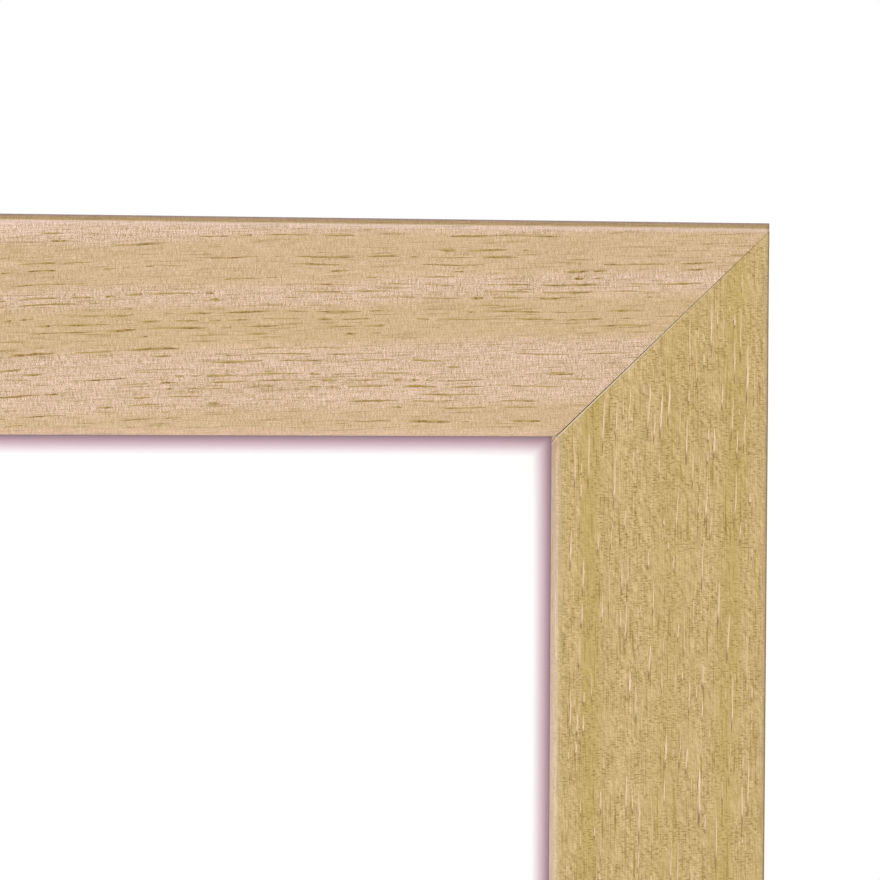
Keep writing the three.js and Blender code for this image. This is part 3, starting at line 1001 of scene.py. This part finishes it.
# The painted shade is given by the distance inwards in millimetres, the colour seen there and the light.
SHADE = (
    (0.0, (146, 120, 124), 1.14), (0.1, (158, 133, 143), 1.1), (0.3, (176, 147, 161), 1.08),
    (0.5, (193, 161, 175), 1.06), (0.7, (208, 179, 191), 1.07), (0.9, (216, 196, 206), 1.08),
    (1.15, (230, 214, 223), 1.07), (1.4, (242, 232, 238), 1.07), (1.7, (250, 247, 251), 1.06),
    (2.0, (255, 255, 255), 1.03),
)
SHADE_TOP_START = 0.1 * MM
SHADE_SIDE_START = -0.3 * MM
SHADE_CORNER = 0.6 * MM
SHADE_LEFT_UNDER_LIP = 0.3 * MM
MARGIN_WHITE = 0.8 * MM
PAPER_FIBRES = (1 / MM, 4.0, (0.5, 0.5, 0.5), 0.65)
PAPER_LIGHT = (0.02, 0.99)
PAPER_ROUGHNESS = (0.15, 0.75)
PAPER_SHEEN = 0.2
PAPER_RELIEF = (0.15, 0.02 * MM)


def paper_finish():
    """White paper with fine fibres, with a painted shade beside the lip."""
    material, shader, where = new_material("white_poster_paper")
    x, y, z = axes(where)
    across = half_width - face_width - SHADE_SIDE_START - abs(x)
    up = half_height - face_width - SHADE_TOP_START - abs(z - frame_middle)
    inside = calc("SMOOTH_MIN", across, up, SHADE_CORNER)
    reach = SHADE[-1][0]
    shades = [(spot / reach, seen(*tint, light)) for spot, tint, light in SHADE]
    in_view = rise_over(inside, -MARGIN_WHITE, -SHADE_LEFT_UNDER_LIP)
    on_front = y < (poster_low.y + poster_high.y) / 2
    shade = mixed(in_view * on_front, shades[-1][1], Wire(ramp(inside / (reach * MM), shades)))
    fibres = noise(where, *PAPER_FIBRES)
    finish = {
        "Base Color": vector_sum("SCALE", shade, sloped(fibres, *PAPER_LIGHT)),
        "Roughness": sloped(fibres, *PAPER_ROUGHNESS),
        "Specular IOR Level": PAPER_SHEEN,
        "Normal": bump(fibres, *PAPER_RELIEF),
    }
    feed(shader, finish)
    return material


def dress(name, material):
    """Gives a CAD node's object its finish."""
    frame["nodes"][name].material_slots[0].material = material


dress("poster_sheet", paper_finish())

# The glazing. Clear float glass, cut to size. Its sharp edges are seamed on a belt, which leaves
# them matt and pale green.
glass_low, glass_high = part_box("glazing_sheet")
GLASS_TINT = (0.996, 1.0, 0.998, 1.0)
GLASS_INDEX = 1.45
SEAMED_WIDTH = 0.5 * MM
SEAMED_EDGE = {"Color": seen(148, 174, 160), "Roughness": 0.6}


def glass_finish():
    """Clear glass that lets lamps through, with matt edges."""
    material, shader, where = new_material("clear_float_glass")
    tree = shader.id_data
    feed(shader, {"Base Color": GLASS_TINT, "Roughness": 0.0, "IOR": GLASS_INDEX})
    feed(shader, {"Transmission Weight": 1.0})
    ray = node(tree, "ShaderNodeLightPath")
    passes = calc("MAXIMUM", Wire(ray, "Is Shadow Ray"), Wire(ray, "Is Diffuse Ray"))
    through = node(tree, "ShaderNodeBsdfTransparent", {"Color": GLASS_TINT})
    clear = node(tree, "ShaderNodeMixShader", {0: passes, 1: Wire(shader), 2: Wire(through)})
    x, _, z = axes(where)
    beside = abs(x) - (glass_high.x - glass_low.x) / 2
    above = abs(z - frame_middle) - (glass_high.z - glass_low.z) / 2
    seamed = rise_over(calc("MAXIMUM", beside, above), -SEAMED_WIDTH, -SEAMED_WIDTH / 2)
    ground = node(tree, "ShaderNodeBsdfDiffuse", SEAMED_EDGE)
    whole = node(tree, "ShaderNodeMixShader", {0: seamed, 1: Wire(clear), 2: Wire(ground)})
    resurface(material, whole)
    return material


dress("glazing_sheet", glass_finish())

# The filler card behind the poster, grey-brown and uncoated, pressed from mixed fibres with
# specks among them. It is cut to the size of the poster.
CARD = {
    "patterns": {
        "mottle": (0.25 / MM, 3.0, (1, 1, 1), 0.6),
        "fibres": (1 / MM, 4.0, (1.6, 0.4, 0.35), 0.7),
        "specks": (0.9 / MM, 2.0, (1, 1, 1), 0.7),
    },
    "body": ("mottle", seen(160, 148, 126), seen(186, 174, 150)),
    "layers": (
        (["fibres"], 0.45, 0.7, 0.4, seen(205, 194, 172)),
        (["specks"], 0.68, 0.74, 0.7, seen(92, 80, 66)),
    ),
    "roughness": ("fibres", 0.12, 0.82),
    "relief": ("fibres", 0.5, 0.05 * MM),
}


def layered_finish(name, look):
    """A body of two colours under layers of (patterns, start, full, share, colour)."""
    material, shader, where = new_material(name)
    patterns = {label: noise(where, *pattern) for label, pattern in look["patterns"].items()}
    label, one, other = look["body"]
    body = mixed(patterns[label], one, other)
    for labels, start, full, share, colour in look["layers"]:
        shown = rise_over(patterns[labels[0]], start, full)
        for label in labels[1:]:
            shown = calc("MAXIMUM", shown, rise_over(patterns[label], start, full))
        body = mixed(shown * share, body, colour)
    label, *slope = look["roughness"]
    feed(shader, {"Base Color": body, "Roughness": sloped(patterns[label], *slope)})
    label, *relief = look["relief"]
    feed(shader, {"Normal": bump(patterns[label], *relief)})
    return material


dress("filler_card", layered_finish("grey_filler_card", CARD))

# The backing board, thin fibreboard with a smooth pressed face: dark hairs and pale flakes of
# wood in a warm brown. It is sawn a little smaller than the rebate.
FIBREBOARD = {
    "patterns": {
        "clouds": (0.03 / MM, 3.0, (1, 1, 1), 0.55),
        "flakes": (0.5 / MM, 4.0, (1, 1, 1), 0.7),
        "hairs": (1 / MM, 3.0, (2.4, 0.4, 0.3), 0.6),
        "hairs_up": (1 / MM, 3.0, (0.3, 0.4, 2.4), 0.6, (7, 3, 5)),
    },
    "body": ("clouds", seen(132, 98, 66), seen(156, 120, 84)),
    "layers": (
        (["flakes"], 0.4, 0.75, 0.6, seen(178, 142, 104)),
        (["hairs", "hairs_up"], 0.62, 0.72, 0.55, seen(92, 64, 40)),
    ),
    "roughness": ("flakes", 0.25, 0.45),
    "relief": ("flakes", 0.3, 0.05 * MM),
}
dress("backing_board", layered_finish("pressed_fibreboard", FIBREBOARD))

# The V-nails, bent from zinc-plated steel strip and pressed into the backs of the mitres. Their
# plating is shared by the turn buttons, screws, strap hangers and rings.
SPANGLE = (0.7 / MM, 3.0, (1, 1, 1), 0.6)
BRUSHED = (1 / MM, 2.0, (1.8, 0.12, 0.09), 0.6)
STAIN = (0.22 / MM, 3.0)
DULL_ZINC = (0.66, 0.67, 0.69, 1)
BRIGHT_ZINC = (0.83, 0.84, 0.86, 1)
TARNISHED_ZINC = (0.58, 0.55, 0.47, 1)
STAIN_SHOWS = (0.45, 0.75)
SCRATCH_SHOWS = (0.5, 0.8)
ZINC_ROUGHNESS = (0.18, 0.2)
SCRATCH_ROUGHNESS = 0.2
ZINC_RELIEF = 0.03 * MM
plating, given, result = new_group(
    "zinc_plating",
    "ShaderNodeTree",
    {"Vector": ["Position"], "Float": ["Scratches", "Tarnish"]},
    {"Color": ["Colour"], "Float": ["Roughness", "Height"]},
)
spangle = noise(given["Position"], *SPANGLE)
stained = rise_over(noise(given["Position"], *STAIN), *STAIN_SHOWS) * given["Tarnish"]
scratched = rise_over(noise(given["Position"], *BRUSHED), *SCRATCH_SHOWS) * given["Scratches"]
coat = {
    "Colour": mixed(stained, mixed(spangle, DULL_ZINC, BRIGHT_ZINC), TARNISHED_ZINC),
    "Roughness": sloped(spangle, *ZINC_ROUGHNESS) + scratched * SCRATCH_ROUGHNESS,
    "Height": spangle - scratched,
}
feed(result, coat)


def zinc_finish(name, scratches, tarnish, relief):
    """Plated steel with its own wear."""
    material, shader, where = new_material(name)
    coat = node(shader.id_data, "ShaderNodeGroup", {}, node_tree=plating)
    feed(coat, {"Position": where, "Scratches": scratches, "Tarnish": tarnish})
    finish = {
        "Base Color": Wire(coat, "Colour"),
        "Roughness": Wire(coat, "Roughness"),
        "Metallic": 1.0,
        "Normal": bump(Wire(coat, "Height"), relief, ZINC_RELIEF),
    }
    feed(shader, finish)
    return material


nail_steel = zinc_finish("vnail_steel", scratches=0.8, tarnish=0.6, relief=0.5)
for name in NAILS:
    dress(name, nail_steel)

# Turn buttons, eight teardrop plates stamped from 1 mm steel. The punch leaves the upper edge
# rounded and the lower one crisp. Each turns about the screw in its wide heel.
BUTTON_REACH = 16 * MM
HEEL_RADIUS = 4.5 * MM
TIP_RADIUS = 3 * MM
BUTTON_THICKNESS = 1 * MM
BUTTON_HOLE = 1.7 * MM
HOLE_BREAK = 0.15 * MM
HOLE_EASE = 0.05 * MM
PUNCH_ROUND = 0.28 * MM
PUNCH_STEPS = 4
PUNCH_BURR = 0.06 * MM
FLAT_INNER = 0.8 * MM
FLAT_OUTER = 1.1 * MM
HEEL_STEPS = 36
TIP_STEPS = 18
EDGE_STEPS = 8
WELD = 0.002 * MM

# Repeats on the back are set out by one tree: it puts a piece at each point of a mesh, turned as
# the point says and by a random share of a spread, and joins the copies into one solid mesh.
set_out, given, result = new_group(
    "set_out_on_the_back",
    "GeometryNodeTree",
    {
        "Geometry": ["Sites"],
        "Object": ["Piece"],
        "Material": ["Finish"],
        "Float": ["Turn Spread"],
        "Int": ["Seed"],
    },
    {"Geometry": ["Pieces"]},
)
set_out.is_modifier = True
piece_info = node(set_out, "GeometryNodeObjectInfo", {"Object": given["Piece"]})
turned = node(set_out, "GeometryNodeInputNamedAttribute", {"Name": "turn"}, data_type="FLOAT_VECTOR")
spread = {2: given["Turn Spread"] * -1.0, 3: given["Turn Spread"], "Seed": given["Seed"]}
chance = Wire(node(set_out, "FunctionNodeRandomValue", spread, data_type="FLOAT"), 1)
about_y = Wire(node(set_out, "ShaderNodeCombineXYZ", {"Y": chance}))
copying = {
    "Points": given["Sites"],
    "Instance": Wire(piece_info, "Geometry"),
    "Rotation": vector_sum("ADD", Wire(turned, "Attribute"), about_y),
}
copies = node(set_out, "GeometryNodeInstanceOnPoints", copying)
solid_copies = node(set_out, "GeometryNodeRealizeInstances", {0: Wire(copies)})
finishing = {"Geometry": Wire(solid_copies), "Material": given["Finish"]}
feed(result, {"Pieces": Wire(node(set_out, "GeometryNodeSetMaterial", finishing))})


def set_pieces(name, master, sites, finish, turn=(0, 0, 0), spread=0.0, seed=1):
    """Copies of a master piece at the sites, as one plain mesh object."""
    points = bpy.data.meshes.new(name)
    points.from_pydata(sites, [], [])
    turns = points.attributes.new("turn", "FLOAT_VECTOR", "POINT")
    turns.data.foreach_set("vector", list(turn) * len(sites))
    carrier = show(name + "_sites", points)
    modifier = carrier.modifiers.new("set_out", "NODES")
    modifier.node_group = set_out
    values = {"Piece": master, "Finish": finish, "Turn Spread": spread, "Seed": seed}
    for item in set_out.interface.items_tree:
        if item.in_out == "INPUT" and item.name in values:
            modifier[item.identifier] = values[item.name]
    made = show(name, plain_mesh(carrier))
    bpy.data.objects.remove(carrier)
    return made


def sharpen(piece, degrees):
    """Welds what a cut left double and smooths the faces, with edges over an angle kept crisp."""
    limit = math.radians(degrees)
    shape = bmesh.new()
    shape.from_mesh(piece.data)
    bmesh.ops.remove_doubles(shape, verts=shape.verts, dist=WELD)
    for each in shape.faces:
        each.smooth = True
    for edge in shape.edges:
        edge.smooth = not edge.is_manifold or edge.calc_face_angle(0.0) < limit
    shape.to_mesh(piece.data)
    shape.free()


def stretch(start, stop, steps):
    """Points along a straight stretch, without its last."""
    return [tuple(a + (b - a) * k / steps for a, b in zip(start, stop)) for k in range(steps)]


def teardrop(inset):
    """The outline of a button, drawn in by an inset, as (across, up) points."""
    heel = HEEL_RADIUS - inset
    tip = TIP_RADIUS - inset
    angle = math.acos((HEEL_RADIUS - TIP_RADIUS) / BUTTON_REACH)
    at_heel = (heel * math.cos(angle), heel * math.sin(angle))
    at_tip = (BUTTON_REACH + tip * math.cos(angle), tip * math.sin(angle))
    outline = arc((0, 0), heel, angle, math.tau - angle, HEEL_STEPS)
    outline += stretch((at_heel[0], -at_heel[1]), (at_tip[0], -at_tip[1]), EDGE_STEPS)
    outline += arc((BUTTON_REACH, 0), tip, -angle, angle, TIP_STEPS)
    return outline + stretch(at_tip, at_heel, EDGE_STEPS)


def button_mesh():
    """The plate as closed rings: down the outside, under, up through the hole and over."""
    shape = bmesh.new()
    angles = [math.atan2(up, across) for across, up in teardrop(0)]
    rings = []

    def outer(inset, height):
        rings.append([shape.verts.new((a, height, u)) for a, u in teardrop(inset)])

    def hole(grow, height):
        radius = BUTTON_HOLE + grow
        rim = [(radius * math.cos(t), height, radius * math.sin(t)) for t in angles]
        rings.append([shape.verts.new(spot) for spot in rim])

    for step in range(PUNCH_STEPS + 1):
        angle = math.pi / 2 * step / PUNCH_STEPS
        outer(PUNCH_ROUND * (1 - math.sin(angle)), BUTTON_THICKNESS - PUNCH_ROUND * (1 - math.cos(angle)))
    outer(0, PUNCH_BURR)
    outer(PUNCH_BURR, 0)
    hole(PUNCH_BURR, 0)
    hole(0, PUNCH_BURR)
    hole(0, BUTTON_THICKNESS - HOLE_BREAK)
    hole(HOLE_EASE, BUTTON_THICKNESS - HOLE_EASE)
    hole(HOLE_BREAK, BUTTON_THICKNESS)
    hole(FLAT_INNER, BUTTON_THICKNESS)
    outer(FLAT_OUTER, BUTTON_THICKNESS)
    bridge(shape, rings, along=True)
    return written(shape, "turn_button")


button_steel = zinc_finish("button_steel", scratches=0.5, tarnish=0.35, relief=0.4)
button_master = show("turn_button_master", button_mesh())
sharpen(button_master, degrees=28)
for name in sorted(n for n in frame["nodes"] if n.endswith("_button")):
    low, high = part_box(name)
    middle = (low + high) / 2
    if high.z - low.z > high.x - low.x:
        pivot = Vector((middle.x, low.y, high.z - HEEL_RADIUS))
        turn = math.pi / 2
    elif middle.x < 0:
        pivot = Vector((high.x - HEEL_RADIUS, low.y, middle.z))
        turn = math.pi
    else:
        pivot = Vector((low.x + HEEL_RADIUS, low.y, middle.z))
        turn = 0.0
    button = set_pieces(name + "_plate", button_master, [pivot], button_steel, (0, turn, 0))
    assemble(button, name.replace("_button", "_turn"), [name])
bpy.data.objects.remove(button_master)

# Ten pan head screws, headed and rolled from steel wire, one in each button and each strap. They
# are driven home by hand, so that no two cross recesses lie alike.
HEAD_RADIUS = 2.8 * MM
HEAD_HEIGHT = 1.9 * MM
HEAD_RIM = 0.5 * MM
HEAD_BREAK = 0.12 * MM
DOME_STEPS = 14
DOME_FULLNESS = (0.75, 0.8)
SHANK_RADIUS = 1.4 * MM
SHANK_NECK = 0.2 * MM
NECK_GROWTH = 0.1 * MM
SCREW_LENGTH = 11 * MM
SCREW_POINT = 3 * MM
RECESS_SPAN = 3.2 * MM
RECESS_WIDTH = 0.75 * MM
RECESS_DEPTH = 1.15 * MM
RECESS_OVERCUT = 1 * MM
RECESS_SHRINKS = (1.25, 0.62)
RECESS_TAPER = 0.4


def screw_profile():
    """From the point up the shank, round the pan head and to its crown."""
    profile = [(0, -SCREW_LENGTH), (SHANK_RADIUS, SCREW_POINT - SCREW_LENGTH), (SHANK_RADIUS, -SHANK_NECK)]
    profile += [(SHANK_RADIUS + NECK_GROWTH, 0), (HEAD_RADIUS - HEAD_BREAK, 0), (HEAD_RADIUS, HEAD_BREAK)]
    for step in range(DOME_STEPS):
        angle = math.pi / 2 * step / DOME_STEPS
        across, up = math.cos(angle) ** DOME_FULLNESS[0], math.sin(angle) ** DOME_FULLNESS[1]
        profile.append((HEAD_RADIUS * across, HEAD_RIM + (HEAD_HEIGHT - HEAD_RIM) * up))
    profile.append((0, HEAD_HEIGHT))
    return profile


def turned_mesh(name, profile, sides):
    """A shape turned about Y from (radius, height) points, closed on the axis at both ends."""
    shape = bmesh.new()
    angles = [math.tau * k / sides for k in range(sides)]
    rings = []
    for radius, height in profile:
        spots = [(radius * math.cos(t), height, -radius * math.sin(t)) for t in (angles if radius else [0])]
        rings.append([shape.verts.new(spot) for spot in spots])
    bridge(shape, rings)
    return written(shape, name, smooth=True)


def recess_mesh():
    """A cross that narrows downwards, as the driver's tip does."""
    shape = bmesh.new()
    rings = []
    for height, shrink in zip((HEAD_HEIGHT + RECESS_OVERCUT, HEAD_HEIGHT - RECESS_DEPTH), RECESS_SHRINKS):
        reach = RECESS_SPAN / 2 * shrink
        half = RECESS_WIDTH / 2 * (1 - RECESS_TAPER + RECESS_TAPER * shrink)
        quarter = [(reach, -half), (reach, half), (half, half)]
        ring = []
        for _ in range(4):
            ring += [shape.verts.new((a, height, b)) for a, b in quarter]
            quarter = [(-b, a) for a, b in quarter]
        rings.append(ring)
    prism(shape, rings)
    return written(shape, "cross_recess")


screw_steel = zinc_finish("screw_steel", scratches=0.3, tarnish=0.25, relief=0.3)
screw_master = show("screw_master", turned_mesh("pan_head_screw", screw_profile(), sides=40))
recess = show("cross_recess", recess_mesh())
cut_by(screw_master, recess)
bpy.data.objects.remove(recess)
sharpen(screw_master, degrees=32)
screw_names = sorted(n for n in frame["nodes"] if n.endswith("_screw"))
screw_sites = []
for name in screw_names:
    low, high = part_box(name)
    middle = (low + high) / 2
    screw_sites.append((middle.x, high.y - HEAD_HEIGHT, middle.z))
screws = set_pieces("pan_head_screws", screw_master, screw_sites, screw_steel, spread=math.pi / 4, seed=5)
bpy.data.objects.remove(screw_master)
assemble(screws, "frame", screw_names)

# Strap hangers, a steel strap folded double round the bar of its D-ring and held by one screw
# through both leaves. The fold stays open as an eye, and the leaves lie tight together below it.
STRAP_WIDTH = 8 * MM
STRAP_THICKNESS = 0.8 * MM
STRAP_SCREW_DROP = 15 * MM
STRAP_NECK_DROP = 4 * MM
STRAP_HOLE = 1.7 * MM
STRAP_EDGE = 0.12 * MM
STRAP_EDGE_CELLS = 2
STRAP_EDGE_ANGLE = math.radians(50)
STRAP_FOOT = 0.12
STRAP_CELLS = 16
BACK_LEAF_STEPS = 24
EYE_STEPS = 16
NECK_STEPS = 8
FRONT_LEAF_STEPS = 22
DRILL_REACH = 5 * MM
WIRE_RADIUS = 0.8 * MM
EYE_RADIUS = 1.0 * MM
EYE_CLOSE = math.pi / 5
KNEE = (0.42, -1.35)
GLUE_FILM = 0.1 * MM
LEAF_SEAM = 0.04 * MM


def strap_line():
    """The middle of the folded strap in its side view, as (out from the eye's centre, up)."""
    bend = EYE_RADIUS + STRAP_THICKNESS / 2
    front_leaf = STRAP_THICKNESS - bend
    foot = -STRAP_SCREW_DROP - STRAP_WIDTH / 2
    start = (bend * math.cos(EYE_CLOSE), -bend * math.sin(EYE_CLOSE))
    knee = (bend * KNEE[0], bend * KNEE[1])
    neck = (front_leaf, -STRAP_NECK_DROP)
    line = stretch((-bend, foot), (-bend, 0), BACK_LEAF_STEPS)
    line += arc((0, 0), bend, math.pi, -EYE_CLOSE, EYE_STEPS)
    for k in range(NECK_STEPS):
        t = k / NECK_STEPS
        spot = ((1 - t) ** 2 * a + 2 * t * (1 - t) * b + t * t * c for a, b, c in zip(start, knee, neck))
        line.append(tuple(spot))
    return line + stretch(neck, (front_leaf, foot), FRONT_LEAF_STEPS) + [(front_leaf, foot)]


def strap_mesh():
    """The strap as a sheet: rows across it along the fold, round below the screw."""
    shape = bmesh.new()
    rows = []
    half = STRAP_WIDTH / 2
    for out, up in strap_line():
        below = max(-up - STRAP_SCREW_DROP, 0)
        reach = math.sqrt(max(half * half - below * below, (STRAP_FOOT * half) ** 2))
        places = [reach * (2 * k / STRAP_CELLS - 1) for k in range(STRAP_CELLS + 1)]
        rows.append([shape.verts.new((across, out, up)) for across in places])
    bridge(shape, rows, around=False)
    return written(shape, "folded_strap")


strap_steel = zinc_finish("strap_steel", scratches=0.7, tarnish=0.4, relief=0.4)
strap_master = show("strap_master", strap_mesh())
sheet_steel = strap_master.modifiers.new("thickness", "SOLIDIFY")
sheet_steel.thickness = STRAP_THICKNESS - LEAF_SEAM
sheet_steel.offset = 0.0
rolled_edge = strap_master.modifiers.new("edges", "BEVEL")
rolled_edge.width = STRAP_EDGE
rolled_edge.segments = STRAP_EDGE_CELLS
rolled_edge.limit_method = "ANGLE"
rolled_edge.angle_limit = STRAP_EDGE_ANGLE
work_in(strap_master)
drill_profile = [(0, -DRILL_REACH), (STRAP_HOLE, -DRILL_REACH), (STRAP_HOLE, DRILL_REACH), (0, DRILL_REACH)]
drill_mesh = turned_mesh("strap_drill", drill_profile, sides=32)
drill_mesh.transform(Matrix.Translation((0, 0, -STRAP_SCREW_DROP)))
drill = show("strap_drill", drill_mesh)
cut_by(strap_master, drill)
bpy.data.objects.remove(drill)
sharpen(strap_master, degrees=35)
ring_axes = {}
for joint in frame["joints"]:
    if joint["name"].endswith("_ring_swing"):
        ring_axes[joint["name"].split("_")[0]] = Vector(joint["pos_m"])
straps = set_pieces("strap_hangers", strap_master, [ring_axes["left"], ring_axes["right"]], strap_steel)
bpy.data.objects.remove(strap_master)
assemble(straps, "frame", ["left_strap_hanger", "right_strap_hanger"])

# D-rings of round steel wire, bent to a bow and butted at the straight bar, loose in the eyes.
# At rest they stand above their straps and lean on the stiles.
RING_HALF_WIDTH = 5.5 * MM
RING_HEIGHT = 11 * MM
RING_CORNER = 1.3 * MM
RING_SIDES = 18
BAR_STEPS = 12
CORNER_STEPS = 10
SIDE_STEPS = 6
BOW_STEPS = 40
REST_GAP = 0.3 * MM
ring_lean = math.asin((GLUE_FILM + STRAP_THICKNESS + EYE_RADIUS - WIRE_RADIUS - REST_GAP) / RING_HEIGHT)


def ring_line():
    """The wire's middle line, across and up from the middle of the bar."""
    inner = RING_HALF_WIDTH - RING_CORNER
    bow = RING_HEIGHT - RING_HALF_WIDTH
    line = stretch((-inner, 0), (inner, 0), BAR_STEPS)
    line += arc((inner, RING_CORNER), RING_CORNER, -math.pi / 2, 0, CORNER_STEPS)
    line += stretch((RING_HALF_WIDTH, RING_CORNER), (RING_HALF_WIDTH, bow), SIDE_STEPS)
    line += arc((0, bow), RING_HALF_WIDTH, 0, math.pi, BOW_STEPS)
    line += stretch((-RING_HALF_WIDTH, bow), (-RING_HALF_WIDTH, RING_CORNER), SIDE_STEPS)
    return line + arc((-inner, RING_CORNER), RING_CORNER, math.pi, 1.5 * math.pi, CORNER_STEPS)


def ring_mesh():
    """Round wire along the line, closed on itself."""
    shape = bmesh.new()
    line = ring_line()
    rings = []
    for k, (across, up) in enumerate(line):
        before = line[k - 1]
        after = line[(k + 1) % len(line)]
        run = Vector((after[0] - before[0], 0, after[1] - before[1])).normalized()
        outwards = Vector((run.z, 0, -run.x))
        ring = []
        for side in range(RING_SIDES):
            angle = math.tau * side / RING_SIDES
            spot = Vector((across, 0, up)) + outwards * WIRE_RADIUS * math.cos(angle)
            ring.append(shape.verts.new(spot + Vector((0, WIRE_RADIUS * math.sin(angle), 0))))
        rings.append(ring)
    bridge(shape, rings, along=True)
    return written(shape, "d_ring", smooth=True)


ring_steel = zinc_finish("ring_steel", scratches=0.35, tarnish=0.3, relief=0.3)
ring_master = show("ring_master", ring_mesh())
for hand, axis_point in ring_axes.items():
    wire = set_pieces(hand + "_d_ring_wire", ring_master, [axis_point], ring_steel, (ring_lean, 0, 0))
    assemble(wire, hand + "_ring", [hand + "_d_ring"])
bpy.data.objects.remove(ring_master)

# Rubber bumpers, two pads moulded in black rubber with a soft rim and a shallow dish, and glued
# to the lower corners. They are matt, with dust in their pores.
BUMPER_RADIUS = 4 * MM
BUMPER_HEIGHT = 2.8 * MM
BUMPER_ROUND = 0.8 * MM
BUMPER_FOOT = 0.1 * MM
RIM_STEPS = 6
DISH = ((1.9 * MM, 0.0), (1.5 * MM, 0.12 * MM), (0.8 * MM, 0.28 * MM), (0, 0.32 * MM))
RUBBER = {
    "patterns": {"pits": (3 / MM, 3.0, (1, 1, 1), 0.6), "dust": (0.5 / MM, 3.0)},
    "body": ("pits", (0.018, 0.018, 0.019, 1), (0.035, 0.035, 0.037, 1)),
    "layers": ((["dust"], 0.5, 0.8, 0.35, (0.13, 0.125, 0.12, 1)),),
    "roughness": ("pits", 0.2, 0.6),
    "relief": ("pits", 0.3, 0.03 * MM),
}


def bumper_profile():
    """From the glued foot round the rim to the dished middle."""
    inner = BUMPER_RADIUS - BUMPER_ROUND
    profile = [(0, 0), (BUMPER_RADIUS, 0), (BUMPER_RADIUS, BUMPER_FOOT)]
    profile += arc((inner, BUMPER_HEIGHT - BUMPER_ROUND), BUMPER_ROUND, 0, math.pi / 2, RIM_STEPS)
    profile.append((inner, BUMPER_HEIGHT))
    return profile + [(radius, BUMPER_HEIGHT - depth) for radius, depth in DISH]


bumper_master = show("bumper_master", turned_mesh("bumper", bumper_profile(), sides=48))
sharpen(bumper_master, degrees=40)
bumper_sites = []
for hand in ("left", "right"):
    low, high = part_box(hand + "_bumper")
    bumper_sites.append(((low.x + high.x) / 2, low.y, (low.z + high.z) / 2))
rubber = layered_finish("moulded_rubber", RUBBER)
bumpers = set_pieces("rubber_bumpers", bumper_master, bumper_sites, rubber)
bpy.data.objects.remove(bumper_master)
assemble(bumpers, "frame", ["left_bumper", "right_bumper"])

# The studio. A pale floor that fades out round the frame, a surround that looks white and gives a
# grey light, weaker from below, and two broad soft lamps: one before the frame, from the left and
# a little below, and one behind it, from the left and above.
FLOOR_RADIUS = 1.15
FLOOR_DROP = 0.05 * MM
FLOOR_SIDES = 96
FLOOR_FADE = (0.35, FLOOR_RADIUS * 0.98)
FLOOR_PAINT = {"Base Color": (0.8, 0.8, 0.79, 1), "Roughness": 0.6}
LAMPS = (
    ("front_lamp", Vector((0.5, 1, 0.22)), 2.75, 22),
    ("rear_lamp", Vector((0.35, -1, -0.6)), 2.2, 30),
)
SKY_FADE = (-0.4, 0.8)
SKY_BELOW = (0.32, 0.32, 0.33, 1)
SKY_ABOVE = (0.62, 0.62, 0.62, 1)
WHITE = (1, 1, 1, 1)

floor_shape = bmesh.new()
bmesh.ops.create_circle(floor_shape, cap_ends=True, segments=FLOOR_SIDES, radius=FLOOR_RADIUS)
floor_mesh = bpy.data.meshes.new("pale_floor")
floor_shape.to_mesh(floor_mesh)
floor_shape.free()
floor_mesh.transform(Matrix.Translation((0, 0, frame_bottom - FLOOR_DROP)))
floor_paint, shader, where = new_material("pale_floor")
tree = shader.id_data
feed(shader, FLOOR_PAINT)
level_place = vector_sum("MULTIPLY", where, (1, 1, 0))
distance = node(tree, "ShaderNodeVectorMath", {0: level_place}, operation="LENGTH")
fade = rise_over(Wire(distance, "Value"), *FLOOR_FADE)
clear = node(tree, "ShaderNodeBsdfTransparent")
resurface(floor_paint, node(tree, "ShaderNodeMixShader", {0: fade, 1: Wire(shader), 2: Wire(clear)}))
floor = show("pale_floor", floor_mesh, [floor_paint])

for name, towards, strength, spread in LAMPS:
    lamp_data = bpy.data.lights.new(name, "SUN")
    lamp_data.energy = strength
    lamp_data.angle = math.radians(spread)
    lamp = bpy.data.objects.new(name, lamp_data)
    lamp.rotation_euler = towards.to_track_quat("-Z", "Y").to_euler()
    lamp.visible_glossy = False
    scene.collection.objects.link(lamp)

surround = bpy.data.worlds.new("white_surround")
surround.use_nodes = True
tree = surround.node_tree
tree.nodes.clear()
height = axes(Wire(node(tree, "ShaderNodeTexCoord"), "Generated"))[2]
sky = mixed(rise_over(height, *SKY_FADE), SKY_BELOW, SKY_ABOVE)
lighting = node(tree, "ShaderNodeBackground", {"Color": sky, "Strength": 1.0})
backdrop = node(tree, "ShaderNodeBackground", {"Color": WHITE, "Strength": 1.0})
in_camera = Wire(node(tree, "ShaderNodeLightPath"), "Is Camera Ray")
shown = node(tree, "ShaderNodeMixShader", {0: in_camera, 1: Wire(lighting), 2: Wire(backdrop)})
node(tree, "ShaderNodeOutputWorld", {"Surface": Wire(shown)})
scene.world = surround
scene.view_settings.view_transform = "Standard"
